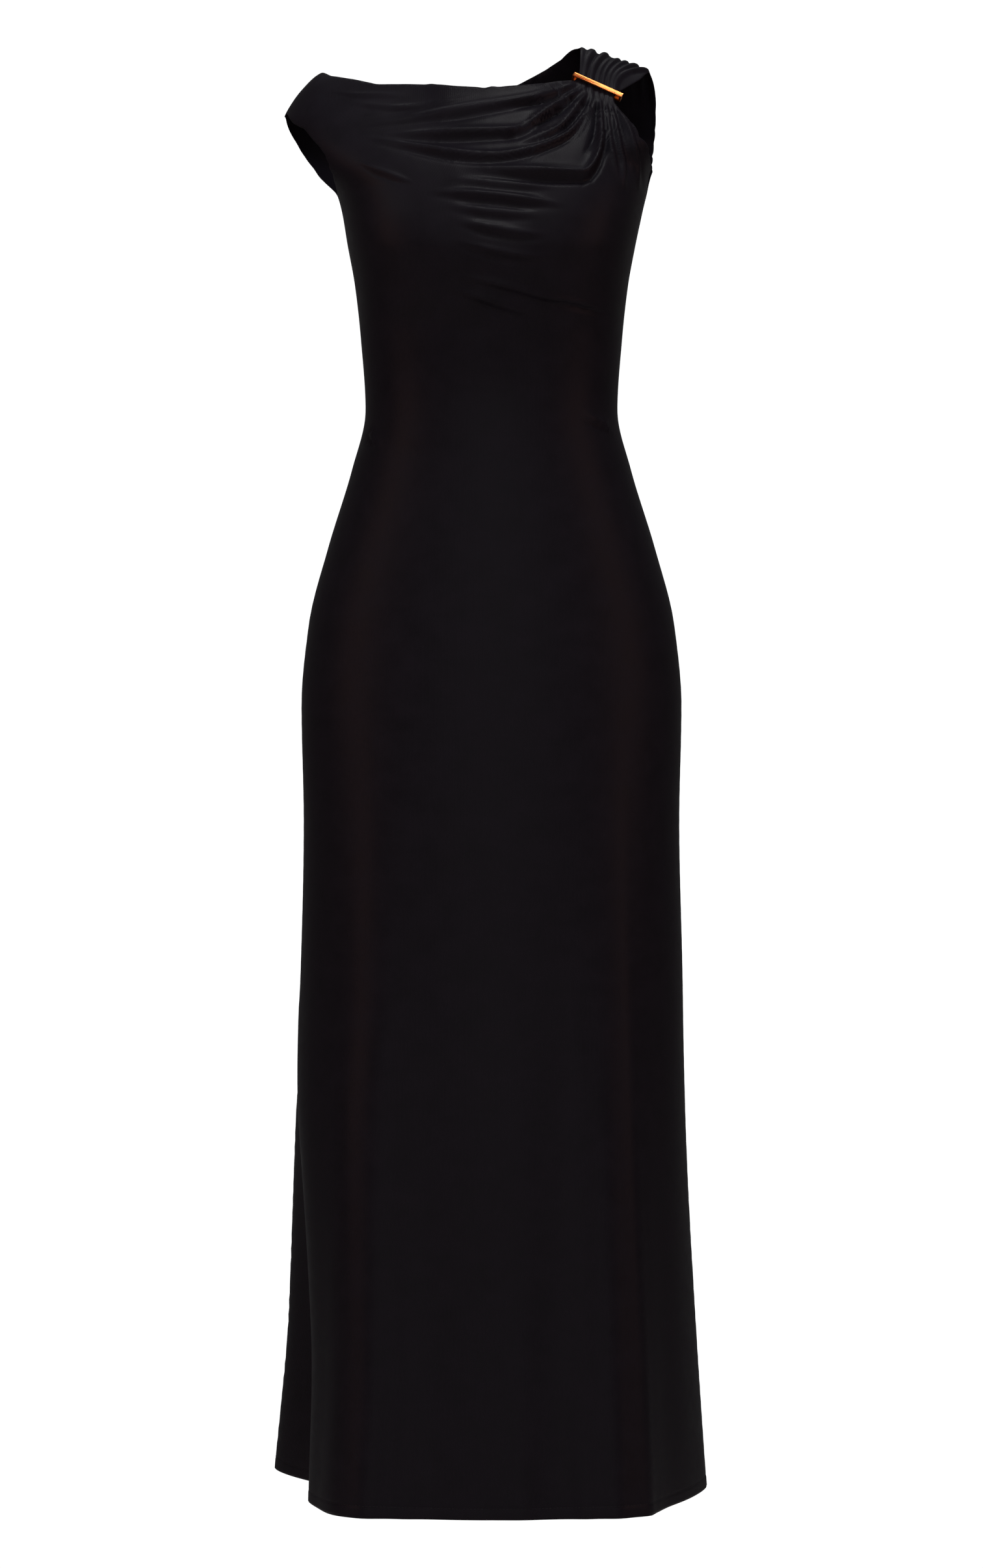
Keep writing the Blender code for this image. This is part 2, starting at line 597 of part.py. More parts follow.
def sheet_mesh(face):
    """Points and triangles of the piece on the flat sheet."""
    loop = outline(face)
    layers = [(gather_points(face), GATHER_SHARE), (fold_points(face), FOLD_SHARE), (grid_points(face), GRID_SHARE)]
    layers = [(points[inside(points, loop)], share) for points, share in layers]
    layers = [(away_from(points, loop, face, share), share) for points, share in layers]
    inner = keep_apart(layers, face)
    points = np.concatenate([loop, inner])
    edges = [(index, (index + 1) % len(loop)) for index in range(len(loop))]
    found = delaunay_2d_cdt([Vector(place) for place in points], edges, [], 1, 1e-7, False)
    places = np.array([tuple(place) for place in found[0]])
    triangles = np.array(found[2])
    triangles = triangles[inside(places[triangles].mean(axis=1), loop)]
    return places, [tuple(map(int, triangle)) for triangle in triangles]


def open_edges(triangles):
    """The edges that only one triangle uses, in that triangle's direction."""
    directed = {(a, b) for face in triangles for a, b in zip(face, face[1:] + face[:1])}
    return [(a, b) for a, b in directed if (b, a) not in directed]


def corner_directions(points, triangles):
    """Outward directions at the corners of a skin, from the facets that meet there."""
    first, second, third = (points[triangles[:, corner]] for corner in range(3))
    facing = np.cross(second - first, third - first)
    directions = np.zeros_like(points)
    for corner in range(3):
        np.add.at(directions, triangles[:, corner], facing)
    return directions / np.linalg.norm(directions, axis=1, keepdims=True)


def build_skin(face):
    """The outer skin of one piece: places on the sheet, points, triangles and outward directions."""
    places, triangles = sheet_mesh(face)
    if face == BACK:
        triangles = [triangle[::-1] for triangle in triangles]
    points = cloth(face, places[:, 0] / SHEET_ACROSS, places[:, 1])
    return places, points, triangles, corner_directions(points, np.array(triangles))


def seams_of(places):
    """Which places on the sheet are on a side seam, and which on a seam over the shoulder."""
    return np.abs(places[:, 0]) > math.radians(89.99) * SHEET_ACROSS, places[:, 1] > CREST_RISE - 1e-5


def share_seams(skins):
    """Gives both pieces the same directions along their seams, so that their rims face each other."""
    meeting = {}
    for places, _, _, directions in skins:
        side, crest = seams_of(places)
        for index in np.flatnonzero(side | crest):
            meeting.setdefault(tuple(np.round(places[index], 5)), []).append((directions, index))
    for corners in meeting.values():
        shared = sum(directions[index] for directions, index in corners)
        for directions, index in corners:
            directions[index] = shared / np.linalg.norm(shared)


def open_seams(skin):
    """Draws a piece back from its seams, in its own surface, by half the gap."""
    places, points, triangles, directions = skin
    side, crest = seams_of(places)
    inward = np.zeros_like(points)
    for first, second in open_edges(triangles):
        if (side[first] and side[second]) or (crest[first] and crest[second]):
            across = np.cross(directions[first] + directions[second], points[second] - points[first])
            inward[first] += across
            inward[second] += across
    lengths = np.linalg.norm(inward, axis=1)
    drawn = lengths > 0
    points[drawn] += inward[drawn] / lengths[drawn, None] * SEAM_GAP / 2


def build_panel(name, skin, material):
    """One piece of the dress, as a closed wall of even thickness under its outer skin."""
    _, outer, triangles, directions = skin
    points = np.concatenate([outer, outer - directions * WALL]) - np.array(HELD_AT)
    count = len(outer)
    faces = list(triangles)
    faces += [tuple(corner + count for corner in triangle[::-1]) for triangle in triangles]
    faces += [(b, a, a + count, b + count) for a, b in open_edges(triangles)]
    mesh = bpy.data.meshes.new(name)
    mesh.from_pydata([tuple(point) for point in points], [], faces)
    mesh.materials.append(material)
    mesh.shade_smooth()
    panel = bpy.data.objects.new(name, mesh)
    bpy.context.scene.collection.objects.link(panel)
    return panel


def slide_frame():
    """Where the slide lies: its middle on the strap, and its directions along, up the strap and out."""
    ends = []
    for degrees, height in SLIDE_ENDS:
        angle = np.radians(np.array([degrees]))
        ends.append((angle, rise_at(angle, np.array([height]))))
    left, right = (form(FRONT, angle, rise)[0] for angle, rise in ends)
    middle = [(first + second) / 2 for first, second in zip(*ends)]
    along = Vector(right - left).normalized()
    out = Vector(outward(form, FRONT, *middle)[0])
    out = (out - along * out.dot(along)).normalized()
    place = (Vector(left) + Vector(right)) / 2
    return place - Vector(HELD_AT), along, out.cross(along).normalized(), out


def rounded_loop(half_length, inner, outer, radius, steps):
    """A rounded rectangle, anticlockwise, as (along, out) pairs."""
    corners = (
        (half_length - radius, outer - radius, 0),
        (-half_length + radius, outer - radius, 90),
        (-half_length + radius, inner + radius, 180),
        (half_length - radius, inner + radius, 270),
    )
    points = []
    for along, out, start in corners:
        for step in range(steps + 1):
            turn = math.radians(start + 90 * step / steps)
            points.append((along + radius * math.cos(turn), out + radius * math.sin(turn)))
    return points


def build_slide(material):
    """The metal loop, as a flat band bent round the strap."""
    place, along, up, out = slide_frame()
    half = SLIDE_LENGTH / 2
    opening_inside = SLIDE_OPENING_OUTSIDE - SLIDE_OPENING
    hole = rounded_loop(
        half - SLIDE_END_THICKNESS,
        opening_inside,
        SLIDE_OPENING_OUTSIDE,
        SLIDE_OPENING_CORNER,
        SLIDE_CORNER_STEPS,
    )
    skin = rounded_loop(
        half,
        opening_inside - SLIDE_BACK_THICKNESS,
        SLIDE_OPENING_OUTSIDE + SLIDE_FRONT_THICKNESS,
        SLIDE_CORNER,
        SLIDE_CORNER_STEPS,
    )
    mesh = bpy.data.meshes.new("shoulder_slide")
    shape = bmesh.new()
    rims = []
    for points in (skin, hole):
        for level in (-SLIDE_BAND / 2, SLIDE_BAND / 2):
            rims.append([shape.verts.new((x, level, z)) for x, z in points])
    skin_low, skin_high, hole_low, hole_high = rims
    count = len(skin)
    for index in range(count):
        after = (index + 1) % count
        shape.faces.new((skin_low[after], skin_low[index], skin_high[index], skin_high[after]))
        shape.faces.new((hole_low[index], hole_low[after], hole_high[after], hole_high[index]))
        shape.faces.new((skin_low[index], skin_low[after], hole_low[after], hole_low[index]))
        shape.faces.new((skin_high[after], skin_high[index], hole_high[index], hole_high[after]))
    bmesh.ops.recalc_face_normals(shape, faces=shape.faces)
    shape.to_mesh(mesh)
    shape.free()
    mesh.materials.append(material)
    slide = bpy.data.objects.new("shoulder_slide", mesh)
    turned = Matrix((along, up, out)).transposed().to_4x4()
    slide.matrix_world = Matrix.Translation(place) @ turned
    bpy.context.scene.collection.objects.link(slide)
    bevel = slide.modifiers.new("soft edges", "BEVEL")
    bevel.width = SLIDE_EDGE
    bevel.segments = 1
    bevel.angle_limit = math.radians(50)
    return slide


def material_of(name, colour, roughness, metallic):
    material = bpy.data.materials.new(name)
    material.use_nodes = True
    shader = material.node_tree.nodes["Principled BSDF"]
    shader.inputs["Base Color"].default_value = (*colour, 1.0)
    shader.inputs["Roughness"].default_value = roughness
    shader.inputs["Metallic"].default_value = metallic
    return material


def main():
    for leftover in list(bpy.data.objects):
        bpy.data.objects.remove(leftover, do_unlink=True)
    skins = {"front": build_skin(FRONT), "back": build_skin(BACK)}
    share_seams(skins.values())
    for name, skin in skins.items():
        open_seams(skin)
        build_panel(name, skin, material_of("black jersey, " + name, JERSEY_COLOUR, 0.62, 0.0))
    build_slide(material_of("gold-coloured metal", GOLD_COLOUR, 0.18, 1.0))


main()
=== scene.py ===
"""The look of a full-length black jersey dress with one gathered strap, for a studio photograph.

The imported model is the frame. Its two cloth pieces are replaced by thin shells on the same form with the
finer folds, a turned hem and its stitches. The slide is replaced by one with rounded edges. Lengths are in
metres, the front faces -Y, and the cloth is worked out from the dress's own centre line and hem, then moved
so that the crest of the strap is at the origin.
"""

import math

import bpy
import numpy as np
from mathutils import Matrix, Vector
from mathutils.geometry import delaunay_2d_cdt


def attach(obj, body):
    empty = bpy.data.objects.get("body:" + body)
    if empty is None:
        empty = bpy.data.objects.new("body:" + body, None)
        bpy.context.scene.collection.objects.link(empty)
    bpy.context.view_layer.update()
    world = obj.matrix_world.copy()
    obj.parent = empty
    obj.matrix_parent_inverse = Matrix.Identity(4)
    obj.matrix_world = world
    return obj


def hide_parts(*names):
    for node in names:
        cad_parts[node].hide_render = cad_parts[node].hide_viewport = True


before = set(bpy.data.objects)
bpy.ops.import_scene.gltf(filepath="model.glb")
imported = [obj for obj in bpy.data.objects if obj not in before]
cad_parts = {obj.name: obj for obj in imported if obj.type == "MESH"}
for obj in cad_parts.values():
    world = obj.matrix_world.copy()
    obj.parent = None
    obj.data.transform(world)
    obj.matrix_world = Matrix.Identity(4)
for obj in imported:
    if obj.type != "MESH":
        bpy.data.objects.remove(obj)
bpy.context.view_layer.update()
bpy.ops.object.select_all(action="DESELECT")

FRONT, BACK = -1, 1

# The form of the dress, with the sizes of the solids
HELD_AT = (0.120, 0.000, 1.380)
SEAM_GAP = 0.0003
CHEST_HEIGHT = 1.200
SHOULDER_HALF_WIDTH = 0.210
SHOULDER_FULLNESS = 0.060
ON_CREST = 2.0
SHEET_ACROSS = 0.200
SHEET_OVER = 0.200
HEM_RISE = -CHEST_HEIGHT
CREST_RISE = SHEET_OVER * math.pi / 2
NORMAL_STEP = 0.0004

# Level sections from the hem up
SECTION_COLUMNS = ("height", "left", "right", "front", "back", "centre", "fullness")
SECTIONS = (
    (0.000, 0.2030, 0.2018, 0.205, 0.115, 0.030, 0.010),
    (0.160, 0.1935, 0.1945, 0.182, 0.114, 0.025, 0.018),
    (0.350, 0.1945, 0.1875, 0.156, 0.116, 0.015, 0.022),
    (0.500, 0.1850, 0.1850, 0.138, 0.119, 0.008, 0.020),
    (0.650, 0.1815, 0.1815, 0.125, 0.125, 0.001, 0.020),
    (0.760, 0.1835, 0.1835, 0.118, 0.130, 0.000, 0.020),
    (0.838, 0.1765, 0.1765, 0.112, 0.123, 0.000, 0.020),
    (0.913, 0.1575, 0.1575, 0.106, 0.107, 0.000, 0.020),
    (0.988, 0.1345, 0.1345, 0.100, 0.091, 0.000, 0.020),
    (1.045, 0.1215, 0.1215, 0.098, 0.082, 0.000, 0.025),
    (1.114, 0.1260, 0.1260, 0.109, 0.088, 0.000, 0.035),
    (1.164, 0.1315, 0.1315, 0.130, 0.096, 0.000, 0.045),
    (1.200, 0.1380, 0.1380, 0.140, 0.101, 0.000, 0.055),
    (1.250, 0.1480, 0.1485, 0.132, 0.106, 0.000, 0.060),
    (1.274, 0.1740, 0.1530, 0.124, 0.106, 0.000, 0.060),
    (1.300, 0.1980, 0.1820, 0.112, 0.103, 0.000, 0.060),
    (1.325, 0.2098, 0.2040, 0.102, 0.097, 0.000, 0.060),
    (1.350, 0.2100, 0.2100, 0.094, 0.089, 0.000, 0.060),
    (1.400, 0.2100, 0.2100, 0.085, 0.080, 0.000, 0.060),
)

# The line over the shoulders, from the neck outwards
CREST_COLUMNS = ("out", "left", "right")
CREST = (
    (0.000, 1.4600, 1.4600),
    (0.040, 1.4400, 1.4400),
    (0.065, 1.4100, 1.4100),
    (0.086, 1.3980, 1.3920),
    (0.110, 1.3890, 1.3845),
    (0.130, 1.3820, 1.3775),
    (0.154, 1.3735, 1.3675),
    (0.167, 1.3677, 1.3600),
    (0.183, 1.3526, 1.3450),
    (0.194, 1.3376, 1.3310),
    (0.200, 1.3263, 1.3200),
    (0.210, 1.2900, 1.2900),
)

# Edges of the cloth: degrees round from the middle of the piece, and height
UNDERARM_LEFT, UNDERARM_RIGHT = 1.2500, 1.2745
CAP_TIP, CAP_TOP = -65.6, -44.5
STRAP_INNER, STRAP_OUTER = 19.3, 39.0
ARMHOLE_LEFT = {
    FRONT: (
        (CAP_TIP, ON_CREST),
        (-58.3, 1.3181),
        (-52.8, 1.3102),
        (-50.6, 1.2924),
        (-51.4, 1.2840),
        (-54.2, 1.2750),
        (-60.0, 1.2655),
        (-69.0, 1.2585),
        (-79.0, 1.2525),
        (-90.0, UNDERARM_LEFT),
    ),
    BACK: (
        (CAP_TIP, ON_CREST),
        (-63.8, 1.3174),
        (-63.2, 1.3057),
        (-63.7, 1.2937),
        (-66.0, 1.2811),
        (-72.5, 1.2674),
        (-81.0, 1.2560),
        (-90.0, UNDERARM_LEFT),
    ),
}
ARMHOLE_RIGHT = {
    FRONT: (
        (90.0, UNDERARM_RIGHT),
        (76.6, 1.2777),
        (66.3, 1.2819),
        (59.3, 1.2857),
        (42.8, 1.3001),
        (34.9, 1.3158),
        (30.2, 1.3270),
        (28.0, 1.3345),
        (27.6, 1.3395),
        (28.4, 1.3450),
        (32.0, 1.3530),
        (35.5, 1.3606),
        (STRAP_OUTER, ON_CREST),
    ),
    BACK: (
        (90.0, UNDERARM_RIGHT),
        (77.3, 1.2789),
        (65.0, 1.2855),
        (54.5, 1.2950),
        (48.1, 1.3079),
        (44.2, 1.3204),
        (42.2, 1.3370),
        (41.1, 1.3554),
        (STRAP_OUTER, ON_CREST),
    ),
}
NECKLINE = {
    FRONT: (
        (STRAP_INNER, ON_CREST),
        (19.2, 1.3790),
        (19.1, 1.3700),
        (18.9, 1.3620),
        (18.0, 1.3565),
        (14.0, 1.3545),
        (11.1, 1.3518),
        (5.3, 1.3493),
        (-1.0, 1.3468),
        (-7.2, 1.3487),
        (-13.1, 1.3516),
        (-25.5, 1.3531),
        (-31.6, 1.3587),
        (-39.8, 1.3643),
        (CAP_TOP, ON_CREST),
    ),
    BACK: (
        (STRAP_INNER, ON_CREST),
        (15.3, 1.3868),
        (11.4, 1.3774),
        (5.5, 1.3648),
        (-4.0, 1.3490),
        (-12.0, 1.3410),
        (-22.0, 1.3400),
        (-32.0, 1.3470),
        (-40.0, 1.3570),
        (CAP_TOP, ON_CREST),
    ),
}

# Gathers of the strap: each ridge's place on the crest and at the slide, its half width and its lift
GATHERS = (
    (0.0875, 0.0842, 0.0028, 0.0024),
    (0.0965, 0.0879, 0.0038, 0.0042),
    (0.1090, 0.0945, 0.0036, 0.0044),
    (0.1165, 0.1015, 0.0022, 0.0014),
    (0.1215, 0.1060, 0.0024, 0.0030),
    (0.1290, 0.1105, 0.0028, 0.0034),
    (0.1380, 0.1145, 0.0036, 0.0042),
    (0.1478, 0.1180, 0.0032, 0.0040),
)
# From the crest to the slide, which lies this turn over the shoulder, they are drawn in and lose a share of
# their lift, and they end just below it. Down the back they spread, widen and fade out.
SLIDE_TURN = 0.95
GATHER_DRAWN_IN = 0.30
GATHER_SPREAD = 0.25
GATHER_WIDENS = 0.80
GATHER_FADES = 0.62
GATHER_ENDS = 4.0
# How much wider than its half width a gather's blunt top makes it
GATHER_BLUNTNESS = 1.20
# The deep narrow valleys between the strap's gathers, which start from nothing at the crest
VALLEY_STARTS = 1.5
VALLEY_DEPTH = 0.0022
VALLEY_HALF_WIDTH = 0.0012

# Drape folds, as seen from the front: four points (across, height) along each ridge, or each trough where
# the lift is below nothing, its half width at the start and at the end, and its lift
FRONT_FOLDS = (
    ((0.0830, 1.3545), (0.0574, 1.3428), (0.0269, 1.3349), (-0.0905, 1.3171), 0.0040, 0.0080, 0.0040),
    ((0.0870, 1.3492), (0.0573, 1.3284), (0.0200, 1.3040), (-0.1083, 1.3009), 0.0035, 0.0080, 0.0055),
    ((0.0915, 1.3448), (0.0827, 1.3325), (0.0620, 1.3070), (0.0187, 1.2890), 0.0032, 0.0055, 0.0035),
    ((0.0960, 1.3395), (0.0706, 1.3004), (0.0009, 1.2791), (-0.1238, 1.3000), 0.0032, 0.0065, 0.0048),
    ((0.1035, 1.3370), (0.1034, 1.3011), (0.0850, 1.2618), (-0.0303, 1.2676), 0.0034, 0.0080, 0.0072),
    ((0.1090, 1.3331), (0.1114, 1.3014), (0.1162, 1.2747), (0.1204, 1.2558), 0.0030, 0.0040, 0.0028),
    ((0.1140, 1.3313), (0.1201, 1.2971), (0.1243, 1.2689), (0.1261, 1.2432), 0.0028, 0.0048, 0.0036),
    ((0.1185, 1.3294), (0.1308, 1.3073), (0.1378, 1.2770), (0.1405, 1.2460), 0.0028, 0.0048, 0.0034),
    ((0.0700, 1.3410), (0.0560, 1.3365), (0.0398, 1.3325), (0.0150, 1.3285), 0.0035, 0.0045, -0.0030),
    ((0.0830, 1.3400), (0.0606, 1.3220), (0.0345, 1.3090), (0.0080, 1.2915), 0.0035, 0.0050, -0.0052),
    ((0.0930, 1.3375), (0.0844, 1.3232), (0.0740, 1.3115), (0.0550, 1.3000), 0.0028, 0.0040, -0.0034),
    ((0.1005, 1.3360), (0.0996, 1.3147), (0.0955, 1.2952), (0.0860, 1.2790), 0.0028, 0.0040, -0.0046),
    ((-0.0640, 1.2446), (-0.0121, 1.2417), (0.0394, 1.2358), (0.0729, 1.2310), 0.0060, 0.0060, 0.0046),
    ((-0.0420, 1.2566), (-0.0070, 1.2534), (0.0136, 1.2515), (0.0652, 1.2482), 0.0050, 0.0050, 0.0022),
    ((-0.0460, 1.2307), (0.0008, 1.2251), (0.0266, 1.2227), (0.0496, 1.2201), 0.0055, 0.0055, 0.0024),
    ((-0.0380, 1.2163), (0.0034, 1.2094), (0.0266, 1.2054), (0.0548, 1.2020), 0.0060, 0.0060, 0.0030),
    ((-0.0360, 1.1978), (0.0085, 1.1877), (0.0327, 1.1837), (0.0600, 1.1806), 0.0065, 0.0065, 0.0026),
    ((-0.1290, 1.2765), (-0.1116, 1.2686), (-0.0961, 1.2624), (-0.0700, 1.2515), 0.0036, 0.0046, 0.0016),
    ((-0.0450, 1.1672), (0.0075, 1.1577), (0.0606, 1.1449), (0.1147, 1.1376), 0.0060, 0.0050, 0.0026),
    ((-0.0470, 1.1560), (-0.0101, 1.1456), (0.0075, 1.1399), (0.0514, 1.1268), 0.0060, 0.0060, 0.0024),
)
BACK_FOLDS = (
    ((0.0750, 1.3560), (0.0450, 1.3370), (0.0020, 1.3200), (-0.0900, 1.3150), 0.0060, 0.0100, 0.0040),
    ((0.0900, 1.3450), (0.0700, 1.3150), (0.0250, 1.2900), (-0.0900, 1.2800), 0.0055, 0.0110, 0.0050),
    ((0.1080, 1.3380), (0.1020, 1.3020), (0.0750, 1.2700), (-0.0100, 1.2500), 0.0055, 0.0100, 0.0048),
    ((0.1260, 1.3320), (0.1300, 1.3000), (0.1250, 1.2700), (0.1100, 1.2350), 0.0055, 0.0080, 0.0034),
    ((-0.0700, 1.0750), (-0.0250, 1.0600), (0.0250, 1.0600), (0.0700, 1.0750), 0.0110, 0.0110, 0.0034),
    ((-0.0600, 1.0450), (-0.0200, 1.0330), (0.0200, 1.0330), (0.0600, 1.0450), 0.0100, 0.0100, 0.0028),
)
# Finer creases between them, in the same columns
FRONT_CREASES = (
    ((-0.1560, 1.3480), (-0.1280, 1.3430), (-0.1000, 1.3420), (-0.0700, 1.3400), 0.0030, 0.0035, 0.0009),
    ((-0.1400, 1.3350), (-0.1100, 1.3310), (-0.0850, 1.3290), (-0.0560, 1.3300), 0.0030, 0.0040, 0.0010),
    ((-0.1340, 1.3200), (-0.0960, 1.3270), (-0.0450, 1.3330), (0.0070, 1.3420), 0.0040, 0.0030, 0.0010),
    ((-0.1300, 1.3100), (-0.0900, 1.3150), (-0.0400, 1.3200), (0.0100, 1.3260), 0.0040, 0.0040, 0.0010),
    ((0.0940, 1.3350), (0.0890, 1.3160), (0.0800, 1.3010), (0.0660, 1.2890), 0.0022, 0.0030, 0.0012),
    ((0.1160, 1.3260), (0.1255, 1.3000), (0.1310, 1.2750), (0.1335, 1.2480), 0.0018, 0.0026, -0.0010),
    ((0.0500, 1.1440), (0.0750, 1.1390), (0.0980, 1.1340), (0.1170, 1.1320), 0.0028, 0.0028, -0.0026),
    ((0.0830, 1.0405), (0.0950, 1.0355), (0.1070, 1.0290), (0.1175, 1.0215), 0.0045, 0.0040, 0.0024),
    ((-0.1185, 1.0280), (-0.1140, 1.0200), (-0.1095, 1.0120), (-0.1040, 1.0030), 0.0040, 0.0045, 0.0020),
)
BACK_CREASES = (
    ((-0.1400, 1.3300), (-0.1000, 1.3260), (-0.0500, 1.3240), (-0.0100, 1.3280), 0.0045, 0.0050, 0.0012),
    ((0.0700, 1.3300), (0.0400, 1.3080), (0.0000, 1.2980), (-0.0500, 1.2960), 0.0045, 0.0060, 0.0014),
    ((0.0850, 1.2950), (0.0600, 1.2780), (0.0200, 1.2680), (-0.0300, 1.2650), 0.0045, 0.0060, 0.0012),
    ((-0.0450, 1.0180), (-0.0150, 1.0120), (0.0200, 1.0130), (0.0500, 1.0200), 0.0070, 0.0070, 0.0012),
)
# A ridge's share that stands up as a crisp line, and how wide that line is beside the ridge
CRISP_SHARE = 0.60
CRISP_WIDTH = 0.42
# The hollow under each ridge: which way it lies, and beside the ridge how far off, how wide, how deep and
# how far out it still shows
HOLLOW_SIDE = (0.40, -0.90)
HOLLOW_SHIFT = 1.30
HOLLOW_WIDTH = 0.50
HOLLOW_SHARE = 0.45
HOLLOW_REACH = 2.6
FOLD_RELIEF = 1.20
FOLD_SAMPLES = 28
# How many half widths from its line a fold still lifts the cloth
FOLD_REACH = 3
# Folds that start further over and higher than this are pinched in the slide: they start with a share of
# their lift and grow fast, where the others start from nothing. All fade out towards their end, and where
# they have no lift they have a share of their width.
AT_SLIDE = (0.065, 1.325)
FOLD_START_SHARE = 0.12
FOLD_GROWS = 5.0
LONE_FOLD_GROWS = 2.4
FOLD_FADES = 2.6
FOLD_END_WIDTH = 0.6

# Flutes of the skirt: degrees round from the front, the height that each grows from down to the hem, its
# lift at the hem and its half width in degrees
FLUTES = (
    (-36.5, 0.800, 0.0255, 12.5),
    (0.0, 0.400, -0.0045, 22.0),
    (36.5, 0.800, 0.0255, 12.5),
    (-93.0, 0.470, -0.0540, 22.0),
    (-125.0, 0.800, 0.0750, 11.5),
    (-160.0, 0.560, -0.0240, 18.0),
    (92.0, 0.450, 0.0075, 14.0),
    (128.0, 0.560, 0.0180, 20.0),
    (150.0, 0.520, -0.0100, 12.0),
    (172.0, 0.620, 0.0180, 20.0),
)
# Softer, narrower folds between them, in the same columns
SOFT_FLUTES = (
    (-31.0, 0.620, 0.0040, 3.2),
    (-22.0, 0.500, 0.0026, 3.0),
    (8.0, 0.450, 0.0022, 4.0),
    (24.0, 0.620, 0.0034, 3.0),
    (31.0, 0.550, 0.0040, 2.8),
    (40.0, 0.800, 0.0036, 2.6),
    (140.0, 0.550, 0.0030, 3.5),
    (163.0, 0.500, 0.0028, 4.0),
    (-172.0, 0.600, 0.0030, 4.0),
    (-146.0, 0.450, 0.0026, 3.5),
)
FLUTE_GROWTH = 1.3

# The cloth and its sewing
CLOTH_THICKNESS = 0.0009
EDGE_ROLL = 0.0004
HEM_TURN = 0.0100
HEM_TURN_LIFT = 0.0003
HEM_TURN_STEP = 0.0010
STITCH_SINK = 0.0004
STITCH_HALF_WIDTH = 0.0009
SEAM_SINK = 0.0005
SEAM_HALF_WIDTH = 0.0016

# One stitch: a bar of thread with pointed ends. Its rings: share of its length, and share of its radius
STITCH_LENGTH = 0.0024
STITCH_GAP = 0.0010
STITCH_RADIUS = 0.00022
STITCH_SITS_OUT = 0.35
STITCH_SIDES = 6
STITCH_RINGS = ((-0.5, 0.0), (-0.38, 0.8), (0.0, 1.0), (0.38, 0.8), (0.5, 0.0))
STITCH_LINE_POINTS = 1441

# How far apart the points of the shells stand, by height, with closer ones on the strap and along the edges
SPACING_HEIGHTS = (0.00, 0.84, 0.95, 1.08, 1.17, 1.40)
SPACING_METRES = (0.0085, 0.0082, 0.0050, 0.0036, 0.0021, 0.0020)
STRAP_SPACING = 0.0010
STRAP_FROM_HEIGHT = 1.325
STRAP_ANGLES = (15.0, 43.0)
STRAP_MIDDLE = 28.0
RIGHT_ARMHOLE_SPACING = 0.0020
STRAP_SEAM_SPACING = 0.0009
NECKLINE_SPACING = 0.0022
CAP_SEAM_SPACING = 0.0025
LEFT_ARMHOLE_SPACING = 0.0022
# Rows of points above the hem, for its turn and stitches, and where the staggered points start above them
HEM_ROWS = (0.0, 0.0020, 0.0045, 0.0070, 0.0086, 0.0100, 0.0114, 0.0135, 0.0170)
HEM_POINTS = 121
OVER_HEM_ROWS = 0.006
LEAST_OVER_HEM_ROWS = 0.004
# Height of a row of staggered points beside their spacing, and how near the outline they may come
ROW_HEIGHT = 0.87
CLEAR_OF_EDGE = 0.45
CLEAR_OF_STRAP_EDGE = 0.5

# The slide: a loop with its opening's outer side this far out from the form
SLIDE_LENGTH = 0.0510
SLIDE_BAND = 0.0052
SLIDE_OUTER_WALL = 0.0031
SLIDE_INNER_WALL = 0.0018
SLIDE_END_WALL = 0.0020
SLIDE_OPENING = 0.0047
SLIDE_OPENING_OUTSIDE = 0.00173
SLIDE_ENDS = ((17.55, 1.3612), (29.84, 1.3403))
# Its outer face is two strips. The lower one reaches below the band, and the upper one slopes back from the
# fold between them. Both stop a little short of the loop's ends. The hair tells near places apart.
SLIDE_STRIP_INSET = 0.0013
SLIDE_STRIP_BELOW = 0.0015
SLIDE_STRIP_SHORT = 0.0002
LOWER_STRIP_SLOPE = 10
UPPER_STRIP_SLOPE = 30
SLIDE_ROUNDING = 0.0003
SLIDE_HAIR = 0.0001

# The knit's wales, and how many times 2 pi the wave texture's bands go in a metre at scale 1
WALE_SPACING = 0.0011
WAVE_BANDS = 20

# The camera, from the middle of the hem
CAMERA_PLACE = (0.0, -5.0, 0.800)
CAMERA_AIM = (0.0, 0.0, 0.6848)
CAMERA_LENS = 118.9

# The floor, and the backdrop: sines of about 6 degrees each way across, 9 up and down and 1 under level
FLOOR_SIZE = 5.0
FLOOR_MIDDLE = -2.1
FLOOR_BELOW_HEM = 0.16
BACKDROP_ACROSS = 0.102
BACKDROP_UP = 0.158
BACKDROP_DROP = 0.0226
BACKDROP_SOFT_EDGE = 0.03

# Soft boxes: place, what it points at, width and height, watts and colour
LIGHTS = (
    ("high front box", (0.15, -2.3, 1.6), (-0.08, 0, -0.15), (0.8, 0.5), 20, "#ffffff"),
    ("high left box", (-2.0, -1.6, 1.3), (-0.08, 0, -0.2), (0.5, 0.8), 12, "#ffffff"),
    ("overhead box", (0.10, -0.7, 1.7), (-0.05, -0.1, -0.15), (0.8, 0.5), 36, "#ffffff"),
    ("front fill box", (-0.12, -5.6, 0.2), (-0.12, 0, -0.6), (3.4, 3.4), 62, "#ffffff"),
    ("high rear box", (-0.10, 1.1, 2.1), (-0.10, 0, -0.3), (1.6, 0.8), 12, "#ffffff"),
    ("left strip box", (-2.4, -1.2, -0.1), (-0.12, 0, -0.6), (0.4, 2.0), 22, "#ffc4b0"),
    ("right strip box", (2.2, -1.2, -0.1), (-0.12, 0, -0.6), (0.4, 2.0), 22, "#ffc4b0"),
)


def column(table, columns, name):
    return np.array([row[columns.index(name)] for row in table], float)


